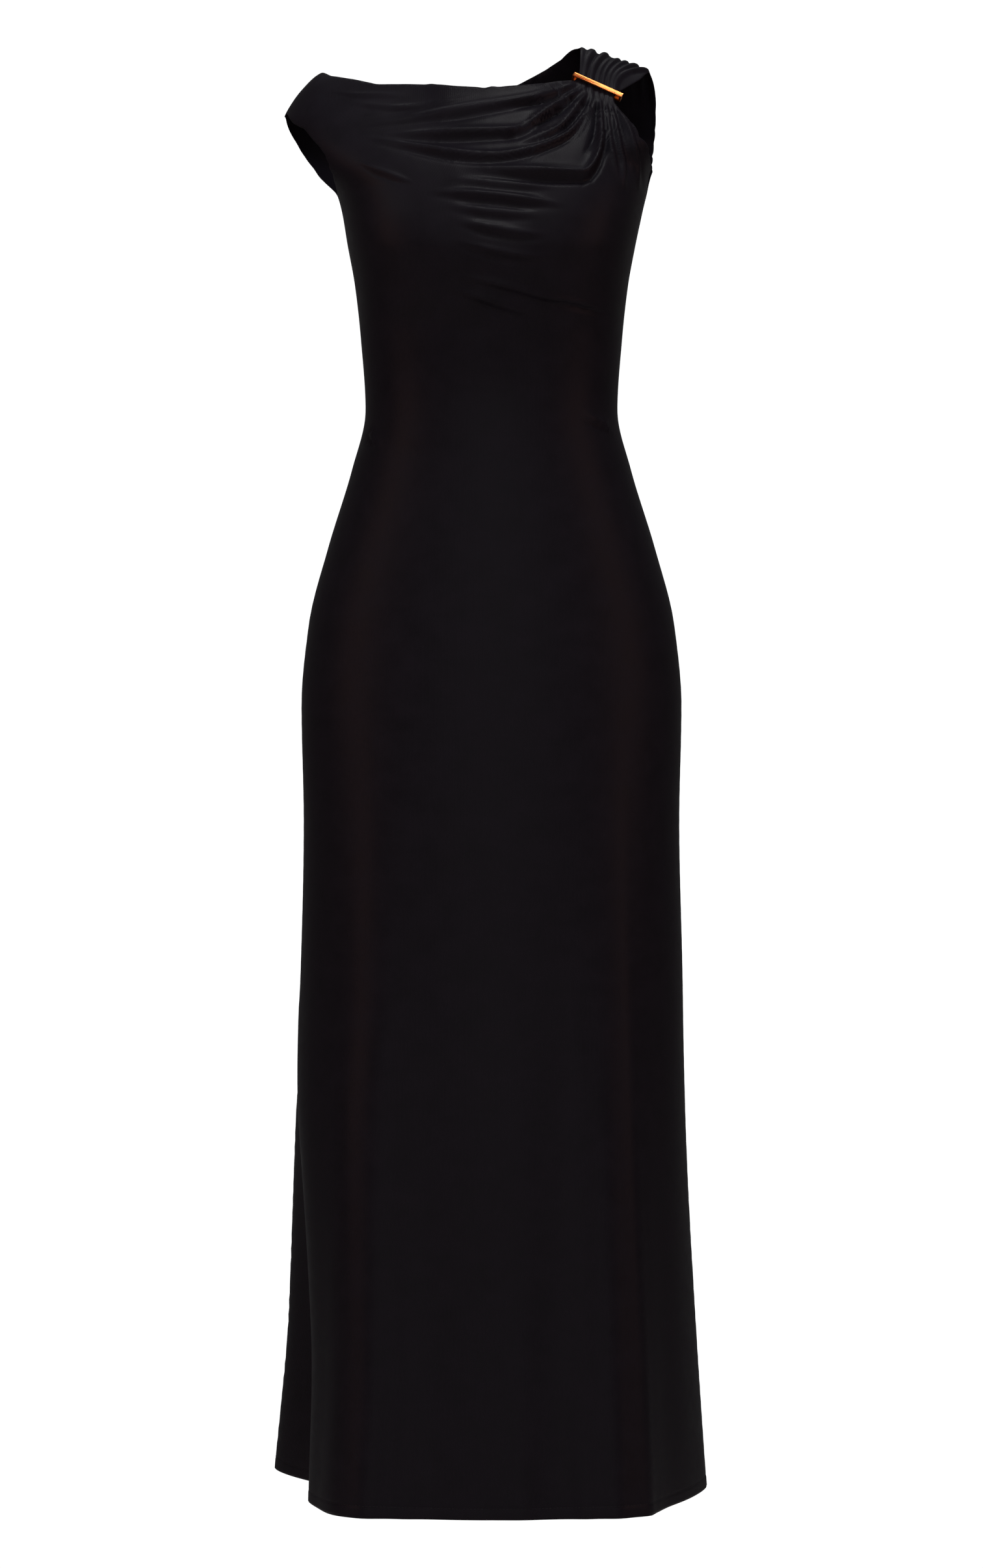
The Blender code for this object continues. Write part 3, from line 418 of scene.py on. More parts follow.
def through(at, knots, values):
    """A smooth curve through the knots, which never overshoots between them."""
    steps = np.diff(knots)
    rises = np.diff(values) / steps
    slopes = np.zeros_like(values)
    slopes[0], slopes[-1] = rises[0], rises[-1]
    product = rises[1:] * rises[:-1]
    total = rises[1:] + rises[:-1]
    slopes[1:-1] = np.where(product > 0, 2 * product / np.where(total == 0, 1, total), 0)
    at = np.clip(at, knots[0], knots[-1])
    index = np.clip(np.searchsorted(knots, at) - 1, 0, len(steps) - 1)
    part = (at - knots[index]) / steps[index]
    ahead = values[index] * (1 + 2 * part) * (1 - part) ** 2 + values[index + 1] * part**2 * (3 - 2 * part)
    bend = slopes[index] * part * (1 - part) ** 2 - slopes[index + 1] * part**2 * (1 - part)
    return ahead + steps[index] * bend


def section(height, name):
    heights = column(SECTIONS, SECTION_COLUMNS, "height")
    return through(height, heights, column(SECTIONS, SECTION_COLUMNS, name))


def mean_radius(height):
    """About how far the cloth stands from the dress's middle line, which makes lengths of angles."""
    return (section(height, "right") + section(height, "front")) / 2


def ring_across(angle, fullness):
    return (np.sin(angle) + fullness * np.sin(3 * angle)) / (1 - fullness)


def ring_deep(angle, fullness):
    return (np.cos(angle) - fullness * np.cos(3 * angle)) / (1 - fullness)


def crest_height(angle):
    out = SHOULDER_HALF_WIDTH * ring_across(angle, SHOULDER_FULLNESS)
    knots = column(CREST, CREST_COLUMNS, "out")
    left = through(np.abs(out), knots, column(CREST, CREST_COLUMNS, "left"))
    right = through(np.abs(out), knots, column(CREST, CREST_COLUMNS, "right"))
    return np.where(out < 0, left, right)


def form(face, angle, rise):
    """Points of the smooth form under the folds. A rise above nothing climbs over the shoulder."""
    turn = np.maximum(rise, 0) / SHEET_OVER
    over = CHEST_HEIGHT + (crest_height(angle) - CHEST_HEIGHT) * np.sin(turn)
    height = np.where(rise > 0, over, CHEST_HEIGHT + rise)
    half = np.where(angle < 0, section(height, "left"), section(height, "right"))
    depth = section(height, "front" if face == FRONT else "back")
    fullness = section(height, "fullness")
    across = half * ring_across(angle, fullness)
    deep = section(height, "centre") + face * depth * ring_deep(angle, fullness) * np.cos(turn)
    return np.stack([across, deep, height], axis=-1)


def rise_at(angle, height):
    share = (height - CHEST_HEIGHT) / (crest_height(angle) - CHEST_HEIGHT)
    over = SHEET_OVER * np.arcsin(np.clip(share, 0, 1))
    return np.where(height > CHEST_HEIGHT, over, height - CHEST_HEIGHT)


def smooth_step(value):
    value = np.clip(value, 0, 1)
    return value * value * (3 - 2 * value)


def curve_through(points, samples):
    """Evenly spread points on a smooth curve through the given ones."""
    points = np.array(points, float)
    lengths = np.concatenate([[0.0], np.cumsum(np.linalg.norm(np.diff(points, axis=0), axis=1))])
    at = np.linspace(0, lengths[-1], samples)
    return np.stack([through(at, lengths, points[:, axis]) for axis in range(points.shape[1])], axis=-1)


def fold_lift(folds, across, height):
    """How far the drape folds lift the cloth at places seen from the front."""
    lift = np.zeros(across.shape)
    for start, second, third, end, start_width, end_width, most in folds:
        line = curve_through((start, second, third, end), FOLD_SAMPLES)
        reach = FOLD_REACH * max(start_width, end_width)
        low, high = line.min(axis=0) - reach, line.max(axis=0) + reach
        beside_it = (across > low[0]) & (across < high[0])
        near = np.where(beside_it & (height > low[1]) & (height < high[1]))[0]
        places = np.stack([across[near], height[near]], axis=-1)
        nearest = np.full(len(near), np.inf)
        along = np.zeros(len(near))
        beside = np.zeros(len(near))
        chord = line[-1] - line[0]
        hollow_turn = 1 if chord[0] * HOLLOW_SIDE[1] - chord[1] * HOLLOW_SIDE[0] > 0 else -1
        for index in range(FOLD_SAMPLES - 1):
            step = line[index + 1] - line[index]
            offset = places - line[index]
            part = np.clip(offset @ step / (step @ step), 0, 1)
            gap = np.linalg.norm(offset - part[:, None] * step, axis=1)
            closer = gap < nearest
            nearest = np.where(closer, gap, nearest)
            along = np.where(closer, (index + part) / (FOLD_SAMPLES - 1), along)
            turned = step[0] * offset[:, 1] - step[1] * offset[:, 0]
            beside = np.where(closer, hollow_turn * turned / np.linalg.norm(step), beside)
        width = start_width + (end_width - start_width) * along
        pinched = start[0] > AT_SLIDE[0] and start[1] > AT_SLIDE[1]
        begins = FOLD_START_SHARE if pinched else 0.0
        grows = FOLD_GROWS if pinched else LONE_FOLD_GROWS
        fade = smooth_step(begins + grows * along) * smooth_step(FOLD_FADES * (1 - along))
        width = width * (FOLD_END_WIDTH + (1 - FOLD_END_WIDTH) * fade)
        soft = np.exp(-((nearest / width) ** 2))
        crisp = np.exp(-((nearest / (width * CRISP_WIDTH)) ** 2))
        hollow = np.exp(-(((beside / width - HOLLOW_SHIFT) / HOLLOW_WIDTH) ** 2))
        hollow = hollow * (nearest < HOLLOW_REACH * width)
        shape = (1 - CRISP_SHARE) * soft + CRISP_SHARE * crisp - (HOLLOW_SHARE * hollow if most > 0 else 0)
        lift[near] += FOLD_RELIEF * most * fade * shape
    return lift


def gather_lift(face, across, turn):
    """The strap's gathers, pinched in the slide, fullest over the crest and fading down the back."""
    from_crest = (math.pi / 2 - turn) / (math.pi / 2 - SLIDE_TURN)
    if face == FRONT:
        shift = smooth_step(from_crest)
        narrower = 1 - GATHER_DRAWN_IN * shift
        left_over = (1 - GATHER_FADES * shift) * (1 - smooth_step((from_crest - 1) * GATHER_ENDS))
        deepens = smooth_step(from_crest * VALLEY_STARTS)
    else:
        shift = -GATHER_SPREAD * smooth_step(from_crest / 2)
        narrower = 1 + GATHER_WIDENS * smooth_step(from_crest / 2)
        left_over = 1 - smooth_step(from_crest / 2)
        deepens = np.zeros(across.shape)
    lift = np.zeros(across.shape)
    for at_crest, at_slide, half_width, most in GATHERS:
        ridge = at_crest + (at_slide - at_crest) * shift
        width = GATHER_BLUNTNESS * half_width * narrower
        lift += most * np.exp(-(np.abs((across - ridge) / width) ** 3))
    for before, after in zip(GATHERS, GATHERS[1:]):
        at_crest, at_slide = (before[0] + after[0]) / 2, (before[1] + after[1]) / 2
        valley = at_crest + (at_slide - at_crest) * shift
        width = VALLEY_HALF_WIDTH * narrower
        lift -= VALLEY_DEPTH * deepens * np.exp(-(((across - valley) / width) ** 2))
    return lift * left_over


def flute_lift(flutes, around, height):
    lift = np.zeros(around.shape)
    for middle, starts_at, most, half_width in flutes:
        away = np.remainder(around - math.radians(middle) + math.pi, 2 * math.pi) - math.pi
        grown = np.clip((starts_at - height) / starts_at, 0, 1) ** FLUTE_GROWTH
        lift += most * grown * np.exp(-((away / math.radians(half_width)) ** 2))
    return lift


def sewing_lift(angle, rise, places):
    """The turned hem, its sunk row of stitches and the side seams drawn in by their thread."""
    above_hem = rise - HEM_RISE
    lift = HEM_TURN_LIFT * (1 - smooth_step((above_hem - HEM_TURN) / HEM_TURN_STEP + 0.5))
    lift -= STITCH_SINK * np.exp(-(((above_hem - HEM_TURN) / STITCH_HALF_WIDTH) ** 2))
    from_seam = (math.pi / 2 - np.abs(angle)) * np.abs(places[..., 0])
    lift -= SEAM_SINK * np.exp(-((from_seam / SEAM_HALF_WIDTH) ** 2))
    return lift


def outward(surface, face, angle, rise):
    """Unit normals of a surface given as a function of the angle and the rise."""
    step = NORMAL_STEP
    turn = step / SHEET_ACROSS
    over = surface(face, angle + turn, rise) - surface(face, angle - turn, rise)
    up = surface(face, angle, rise + step) - surface(face, angle, rise - step)
    normal = np.cross(over, up) if face == FRONT else np.cross(up, over)
    return normal / np.linalg.norm(normal, axis=-1, keepdims=True)


def cloth(face, angle, rise):
    """Points of the cloth's outer surface, folds, creases and sewing and all."""
    places = form(face, angle, rise)
    around = angle if face == FRONT else math.pi - angle
    across, height = places[..., 0], places[..., 2]
    lift = flute_lift(FLUTES + SOFT_FLUTES, around, height)
    lift += gather_lift(face, across, np.maximum(rise, 0) / SHEET_OVER)
    lift += fold_lift(FRONT_FOLDS if face == FRONT else BACK_FOLDS, across, height)
    lift += fold_lift(FRONT_CREASES if face == FRONT else BACK_CREASES, across, height)
    lift += sewing_lift(angle, rise, places)
    return places + outward(form, face, angle, rise) * lift[..., None]


def place_in_frame(points, face):
    return points + np.array([0.0, face * SEAM_GAP / 2, 0.0]) - np.array(HELD_AT)


def spacing_at(height):
    return np.interp(height, SPACING_HEIGHTS, SPACING_METRES)


def sheet_scale(places):
    """Real metres for each metre of sheet across and up, about, at places on the sheet."""
    turn = np.maximum(places[:, 1], 0) / SHEET_OVER
    height = np.minimum(CHEST_HEIGHT + places[:, 1], HELD_AT[2])
    across = mean_radius(height) / SHEET_ACROSS
    climb, depth = HELD_AT[2] - CHEST_HEIGHT, section(np.array(HELD_AT[2]), "front")
    over = np.hypot(climb * np.cos(turn), depth * np.sin(turn)) / SHEET_OVER
    return np.stack([across, np.where(places[:, 1] > 0, over, 1.0)], axis=-1)


def with_more_rows(rows):
    """The rows and two more between each pair under the crest, so that the edge keeps to their heights."""
    fuller = [rows[0]]
    for before, after in zip(rows, rows[1:]):
        if max(before[1], after[1]) < ON_CREST:
            for share in (1 / 3, 2 / 3):
                fuller.append(tuple(first + share * (last - first) for first, last in zip(before, after)))
        fuller.append(after)
    return fuller


def edge(rows, spacing):
    """Points on the flat sheet along an edge given by rows of degrees round and height."""
    rows = with_more_rows(rows)
    angles = np.radians([row[0] for row in rows])
    rises = rise_at(angles, np.array([row[1] for row in rows]))
    corners = np.stack([angles * SHEET_ACROSS, rises], axis=-1)
    length = np.linalg.norm(np.diff(corners, axis=0), axis=1).sum()
    return curve_through(corners, round(length / spacing) + 1)


def crest_seam(first, last, spacing):
    count = round(abs(math.radians(last - first)) * SHEET_ACROSS / spacing)
    angles = np.radians(np.linspace(first, last, count + 1))
    return np.stack([angles * SHEET_ACROSS, np.full(len(angles), CREST_RISE)], axis=-1)


def side_seam(degrees, underarm):
    """Points down one side seam, from the underarm to the hem."""
    rises = [float(rise_at(np.radians(degrees), np.array(underarm)))]
    while rises[-1] > HEM_RISE + HEM_ROWS[-1] + LEAST_OVER_HEM_ROWS:
        rises.append(rises[-1] - float(spacing_at(CHEST_HEIGHT + rises[-1])))
    rises[-1] = HEM_RISE + HEM_ROWS[-1] + OVER_HEM_ROWS
    rises += [HEM_RISE + row for row in HEM_ROWS[::-1]]
    return np.array([(math.radians(degrees) * SHEET_ACROSS, rise) for rise in rises])


def outline(face):
    """The piece's closed outline on the flat sheet, anticlockwise, without a repeated point."""
    hem = np.radians(np.linspace(-90, 90, HEM_POINTS)) * SHEET_ACROSS
    stretches = (
        np.stack([hem, np.full(len(hem), HEM_RISE)], axis=-1),
        side_seam(90, UNDERARM_RIGHT)[::-1],
        edge(ARMHOLE_RIGHT[face], RIGHT_ARMHOLE_SPACING),
        crest_seam(STRAP_OUTER, STRAP_INNER, STRAP_SEAM_SPACING),
        edge(NECKLINE[face], NECKLINE_SPACING),
        crest_seam(CAP_TOP, CAP_TIP, CAP_SEAM_SPACING),
        edge(ARMHOLE_LEFT[face], LEFT_ARMHOLE_SPACING),
        side_seam(-90, UNDERARM_LEFT),
    )
    return np.concatenate([stretch[:-1] for stretch in stretches])


def staggered(low, high, spacing_of):
    """Staggered rows of points on a patch of the sheet, between two corners."""
    points = []
    rise, odd = low[1], False
    while rise < high[1]:
        scale = sheet_scale(np.array([[0.0, rise]]))[0]
        spacing = spacing_of(rise)
        count = max(4, round((high[0] - low[0]) * scale[0] / spacing))
        across = low[0] + (high[0] - low[0]) * (np.arange(count) + (0.75 if odd else 0.25)) / count
        points.append(np.stack([across, np.full(count, rise)], axis=-1))
        rise += spacing * ROW_HEIGHT / scale[1]
        odd = not odd
    return np.concatenate(points)


def inside(points, loop):
    """Which points lie inside the closed loop."""
    odd = np.zeros(len(points), bool)
    for (x0, y0), (x1, y1) in zip(loop, np.roll(loop, -1, axis=0)):
        crosses = (y0 > points[:, 1]) != (y1 > points[:, 1])
        at = x0 + (points[:, 1] - y0) * (x1 - x0) / (y1 - y0 if y1 != y0 else 1.0)
        odd ^= crosses & (points[:, 0] < at)
    return odd


def away_from(points, loop, gap):
    """The points that keep their distance from the outline."""
    scale = sheet_scale(points)
    nearest = np.full(len(points), np.inf)
    for corner in loop:
        nearest = np.minimum(nearest, np.hypot(*((points - corner) * scale).T))
    return points[nearest > gap]


def sheet_mesh(face):
    """Points and triangles of the piece on the flat sheet."""
    loop = outline(face)
    edge_across = math.pi / 2 * SHEET_ACROSS
    grid = staggered(
        (-edge_across, HEM_RISE + HEM_ROWS[-1] + OVER_HEM_ROWS),
        (edge_across, CREST_RISE),
        lambda rise: float(spacing_at(CHEST_HEIGHT + rise)),
    )
    strap_low, strap_high = (math.radians(angle) * SHEET_ACROSS for angle in STRAP_ANGLES)
    strap_rise = float(rise_at(math.radians(STRAP_MIDDLE), np.array(STRAP_FROM_HEIGHT)))
    in_strap = (grid[:, 0] > strap_low) & (grid[:, 0] < strap_high) & (grid[:, 1] > strap_rise)
    strap = staggered((strap_low, strap_rise), (strap_high, CREST_RISE), lambda rise: STRAP_SPACING)
    hem = np.linspace(-edge_across, edge_across, HEM_POINTS)[1:-1]
    hem_rows = [np.stack([hem, np.full(len(hem), HEM_RISE + row)], axis=-1) for row in HEM_ROWS[1:]]
    grid = grid[~in_strap]
    grid = grid[inside(grid, loop)]
    grid = away_from(grid, loop, CLEAR_OF_EDGE * spacing_at(CHEST_HEIGHT + grid[:, 1]))
    strap = strap[inside(strap, loop)]
    strap = away_from(strap, loop, CLEAR_OF_STRAP_EDGE * STRAP_SPACING)
    points = np.concatenate([loop, *hem_rows, strap, grid])
    edges = [(index, (index + 1) % len(loop)) for index in range(len(loop))]
    found = delaunay_2d_cdt([Vector(place) for place in points], edges, [], 1, 1e-7, False)
    places = np.array([tuple(place) for place in found[0]])
    triangles = np.array(found[2])
    return places, triangles[inside(places[triangles].mean(axis=1), loop)]


def vertex_normals(points, triangles):
    first, second, third = (points[triangles[:, corner]] for corner in range(3))
    facing = np.cross(second - first, third - first)
    normals = np.zeros_like(points)
    for corner in range(3):
        np.add.at(normals, triangles[:, corner], facing)
    return normals / np.linalg.norm(normals, axis=1, keepdims=True)


def rim_edges(triangles):
    """The edges that only one triangle uses, in that triangle's direction."""
    pairs = triangles[:, [0, 1, 1, 2, 2, 0]].reshape(-1, 2)
    directed = set(map(tuple, pairs.tolist()))
    return np.array([pair for pair in pairs.tolist() if (pair[1], pair[0]) not in directed])


def rolled_edge(outer, inner, normals, rim):
    """For each corner of the rim, a point between the shell's two sides and a little beyond them."""
    beside = np.zeros_like(outer)
    for first, second in rim:
        out = np.cross(outer[second] - outer[first], normals[first] + normals[second])
        beside[first] += out
        beside[second] += out
    rolled = {}
    for corner in sorted(set(rim.ravel().tolist())):
        out = beside[corner] / np.linalg.norm(beside[corner])
        rolled[corner] = (outer[corner] + inner[corner]) / 2 + out * EDGE_ROLL
    return rolled


def laid_flat(angle, rise):
    """Where places on the sheet lie on the flat knit, in real metres about."""
    radius = mean_radius(np.minimum(CHEST_HEIGHT + rise, HELD_AT[2]))
    return np.stack([angle * radius, rise + CHEST_HEIGHT], axis=-1)


def new_piece(name, mesh, material):
    """An object of a finished mesh, at the origin."""
    mesh.materials.append(material)
    mesh.shade_smooth()
    piece = bpy.data.objects.new(name, mesh)
    bpy.context.scene.collection.objects.link(piece)
    return piece


def build_panel(name, face, material):
    """One piece of the dress: a thin closed shell with softly rolled edges."""
    places, triangles = sheet_mesh(face)
    angle, rise = places[:, 0] / SHEET_ACROSS, places[:, 1]
    outer = place_in_frame(cloth(face, angle, rise), face)
    if face == BACK:
        triangles = triangles[:, ::-1]
    normals = vertex_normals(outer, triangles)
    inner = outer - normals * CLOTH_THICKNESS
    rim = rim_edges(triangles)
    rolled = rolled_edge(outer, inner, normals, rim)
    count = len(outer)
    roll_of = {corner: 2 * count + index for index, corner in enumerate(rolled)}
    points = np.concatenate([outer, inner, np.array(list(rolled.values()))])
    faces = triangles.tolist() + (triangles[:, ::-1] + count).tolist()
    for first, second in rim.tolist():
        faces.append((second, first, roll_of[first], roll_of[second]))
        faces.append((roll_of[second], roll_of[first], first + count, second + count))
    mesh = bpy.data.meshes.new(name)
    mesh.from_pydata(points.tolist(), [], faces)
    flat = laid_flat(angle, rise)
    flat = np.concatenate([flat, flat, flat[list(rolled)]])
    corners = np.empty(len(mesh.loops), int)
    mesh.loops.foreach_get("vertex_index", corners)
    mesh.uv_layers.new(name="knit").uv.foreach_set("vector", flat[corners].ravel())
    return new_piece(name, mesh, material)


def build_stitches(name, face, material):
    """The row of stitches that holds the turned hem, each a short rounded bar of thread."""
    angles = np.linspace(-math.pi / 2, math.pi / 2, STITCH_LINE_POINTS)
    rise = np.full(len(angles), HEM_RISE + HEM_TURN)
    line = place_in_frame(cloth(face, angles, rise), face)
    normals = outward(cloth, face, angles, rise)
    far = np.concatenate([[0.0], np.cumsum(np.linalg.norm(np.diff(line, axis=0), axis=1))])

    def part_way(values, distance):
        return Vector([np.interp(distance, far, values[:, axis]) for axis in range(3)])

    points, faces = [], []
    start = STITCH_GAP
    while start + STITCH_LENGTH < far[-1]:
        middle = part_way(line, start + STITCH_LENGTH / 2)
        out = part_way(normals, start + STITCH_LENGTH / 2).normalized()
        along = (part_way(line, start + STITCH_LENGTH) - part_way(line, start)).normalized()
        side = out.cross(along).normalized()
        tip = len(points)
        for share, wide in STITCH_RINGS:
            centre = middle + along * share * STITCH_LENGTH + out * STITCH_RADIUS * STITCH_SITS_OUT
            if wide == 0.0:
                points.append(centre)
                continue
            for turn in range(STITCH_SIDES):
                swing = math.radians(360 / STITCH_SIDES * turn)
                away = side * math.cos(swing) + out * math.sin(swing)
                points.append(centre + away * STITCH_RADIUS * wide)
        rings = [tip + 1 + STITCH_SIDES * index for index in range(len(STITCH_RINGS) - 2)]
        for turn in range(STITCH_SIDES):
            after = (turn + 1) % STITCH_SIDES
            faces.append((tip, rings[0] + after, rings[0] + turn))
            for ring, following in zip(rings, rings[1:]):
                faces.append((ring + turn, ring + after, following + after, following + turn))
            faces.append((rings[-1] + STITCH_SIDES, rings[-1] + turn, rings[-1] + after))
        start += STITCH_LENGTH + STITCH_GAP
    mesh = bpy.data.meshes.new(name)
    mesh.from_pydata([tuple(point) for point in points], [], faces)
    return new_piece(name, mesh, material)


def slide_frame():
    """Where the slide lies: its middle on the strap, and its directions along, up the strap and out."""
    ends = []
    for degrees, height in SLIDE_ENDS:
        angle = np.radians(np.array([degrees]))
        ends.append((angle, rise_at(angle, np.array([height]))))
    left, right = (form(FRONT, angle, rise)[0] for angle, rise in ends)
    middle = [(first + second) / 2 for first, second in zip(*ends)]
    along = Vector(right - left).normalized()
    out = Vector(outward(form, FRONT, *middle)[0])
    out = (out - along * out.dot(along)).normalized()
    place = (Vector(left) + Vector(right)) / 2
    return place - Vector(HELD_AT), along, out.cross(along).normalized(), out


def select_faces(mesh_object, chosen):
    """In edit mode, leaves only the faces selected whose normal and centre the rule picks."""
    bpy.ops.object.mode_set(mode="OBJECT")
    for polygon in mesh_object.data.polygons:
        polygon.select = chosen(polygon)
    for point in mesh_object.data.vertices:
        point.select = False
    for line in mesh_object.data.edges:
        line.select = False
    bpy.ops.object.mode_set(mode="EDIT")
    bpy.ops.mesh.select_mode(type="FACE")


def build_slide(material):
    """The metal loop: a bar pierced for the strap, its edges rounded and polished."""
    outer_side = SLIDE_OPENING_OUTSIDE + SLIDE_OUTER_WALL
    inner_side = SLIDE_OPENING_OUTSIDE - SLIDE_OPENING - SLIDE_INNER_WALL
    bpy.ops.mesh.primitive_cube_add(size=1.0, location=(0, 0, (outer_side + inner_side) / 2))
    slide = bpy.context.object
    slide.name = "polished_slide"
    slide.scale = (SLIDE_LENGTH, SLIDE_BAND, outer_side - inner_side)
    bpy.ops.object.transform_apply(location=True, rotation=True, scale=True)
    bpy.ops.object.mode_set(mode="EDIT")
    select_faces(slide, lambda polygon: abs(polygon.normal.y) > 0.9)
    bpy.ops.mesh.inset(thickness=SLIDE_END_WALL, use_individual=True)
    bpy.ops.mesh.bridge_edge_loops()
    bpy.ops.object.mode_set(mode="OBJECT")
    for point in slide.data.vertices:
        if abs(point.co.x) < SLIDE_LENGTH / 2 - SLIDE_END_WALL / 2:
            outer = point.co.z > (outer_side + inner_side) / 2
            point.co.z = SLIDE_OPENING_OUTSIDE if outer else SLIDE_OPENING_OUTSIDE - SLIDE_OPENING
    facing_out = outer_side - SLIDE_HAIR
    select_faces(slide, lambda polygon: polygon.normal.z > 0.9 and polygon.center.z > facing_out)
    bpy.ops.mesh.inset(thickness=SLIDE_STRIP_INSET)
    bpy.ops.object.mode_set(mode="OBJECT")
    fold = SLIDE_STRIP_INSET - SLIDE_BAND / 2
    for point in slide.data.vertices:
        if point.co.z < facing_out:
            continue
        if abs(point.co.x) < SLIDE_LENGTH / 2 - SLIDE_STRIP_INSET / 2:
            point.co.x = math.copysign(SLIDE_LENGTH / 2 - SLIDE_STRIP_SHORT, point.co.x)
        if point.co.y < fold - SLIDE_HAIR:
            point.co.y -= SLIDE_STRIP_BELOW
            point.co.z -= SLIDE_STRIP_BELOW * math.tan(math.radians(LOWER_STRIP_SLOPE))
        else:
            point.co.z -= (point.co.y - fold) * math.tan(math.radians(UPPER_STRIP_SLOPE))
    rounding = slide.modifiers.new("rounded edges", "BEVEL")
    rounding.width = SLIDE_ROUNDING
    rounding.segments = 3
    rounding.limit_method = "ANGLE"
    rounding.angle_limit = math.radians(40)
    bpy.ops.object.modifier_apply(modifier=rounding.name)
    place, along, up, out = slide_frame()
    slide.matrix_world = Matrix.Translation(place) @ Matrix((along, up, out)).transposed().to_4x4()
    bpy.ops.object.transform_apply(location=True, rotation=True, scale=True)
    bpy.ops.object.shade_smooth_by_angle(angle=math.radians(35))
    slide.data.materials.clear()
    slide.data.materials.append(material)
    slide.select_set(False)
    return slide


def linear(colour):
    """A linear colour from an sRGB hex value."""
    parts = [int(colour[index : index + 2], 16) / 255 for index in (1, 3, 5)]
    light = [part / 12.92 if part <= 0.04045 else ((part + 0.055) / 1.055) ** 2.4 for part in parts]
    return (*light, 1.0)


def add_node(tree, kind, settings=(), **links):
    """Adds a node with its settings, and links or sets the inputs named."""
    node = tree.nodes.new(kind)
    for name, value in dict(settings).items():
        setattr(node, name, value)
    for name, value in links.items():
        numbered = name.startswith("in") and name[2:].isdigit()
        socket = node.inputs[int(name[2:]) if numbered else name.replace("_", " ")]
        if hasattr(value, "is_output"):
            tree.links.new(value, socket)
        else:
            socket.default_value = value
    return node


def new_material(name):
    material = bpy.data.materials.new(name)
    material.use_nodes = True
    tree = material.node_tree
    return material, tree, tree.nodes["Principled BSDF"]


def jersey(name):
    """Rayon and elastane single jersey, knitted fine and dyed black: smooth, with a soft low sheen."""
    material, tree, shader = new_material(name)
    shader.inputs["Specular IOR Level"].default_value = 0.028
    flat = add_node(tree, "ShaderNodeUVMap", {"uv_map": "knit"}).outputs["UV"]
    # wales 1.1 mm apart, drawn about twice as coarse as real ones so that they show
    across = 2 * math.pi / WALE_SPACING / WAVE_BANDS
    wales = add_node(tree, "ShaderNodeMapping", {}, Vector=flat, Scale=(across, 1.0, 1.0))
    banded = {"wave_type": "BANDS", "bands_direction": "X"}
    ribs = add_node(tree, "ShaderNodeTexWave", banded, Vector=wales.outputs[0], Scale=1.0, Distortion=0.0)
    # uneven loops, 1.1 mm across and 0.8 mm up, and tones that drift over 26 mm
    loops = add_node(tree, "ShaderNodeMapping", {}, Vector=flat, Scale=(900.0, 1300.0, 1.0))
    rough = {"Detail": 1.0, "Roughness": 0.6}
    courses = add_node(tree, "ShaderNodeTexNoise", {}, Vector=loops.outputs[0], Scale=1.0, **rough)
    uneven = add_node(tree, "ShaderNodeTexNoise", {}, Vector=flat, Scale=38.0, Detail=3.0, Roughness=0.6)
    tone = add_node(tree, "ShaderNodeMix", {"data_type": "RGBA"}, in0=uneven.outputs["Fac"])
    tone.inputs[6].default_value = linear("#0b0a0d")
    tone.inputs[7].default_value = linear("#110f14")
    tree.links.new(tone.outputs[2], shader.inputs["Base Color"])
    sheen_spread = add_node(
        tree,
        "ShaderNodeMapRange",
        {},
        Value=uneven.outputs["Fac"],
        From_Min=0.3,
        From_Max=0.7,
        To_Min=0.36,
        To_Max=0.44,
    )
    tree.links.new(sheen_spread.outputs[0], shader.inputs["Roughness"])
    grain = add_node(
        tree,
        "ShaderNodeMath",
        {"operation": "MULTIPLY_ADD"},
        in0=courses.outputs["Fac"],
        in1=0.7,
        in2=ribs.outputs["Fac"],
    )
    bump = add_node(tree, "ShaderNodeBump", {}, Height=grain.outputs[0], Strength=0.35, Distance=0.00010)
    tree.links.new(bump.outputs[0], shader.inputs["Normal"])
    return material


def thread():
    """Spun polyester sewing thread, dyed black: a little glossier and greyer than the jersey."""
    material, tree, shader = new_material("spun polyester thread, black")
    place = add_node(tree, "ShaderNodeTexCoord").outputs["Object"]
    # the twist's light and dark, about 0.6 mm apart
    twist = add_node(tree, "ShaderNodeTexNoise", {}, Vector=place, Scale=1800.0, Detail=1.0)
    tone = add_node(tree, "ShaderNodeMix", {"data_type": "RGBA"}, in0=twist.outputs["Fac"])
    tone.inputs[6].default_value = linear("#0e0d10")
    tone.inputs[7].default_value = linear("#161518")
    tree.links.new(tone.outputs[2], shader.inputs["Base Color"])
    shader.inputs["Roughness"].default_value = 0.5
    shader.inputs["Specular IOR Level"].default_value = 0.08
    return material


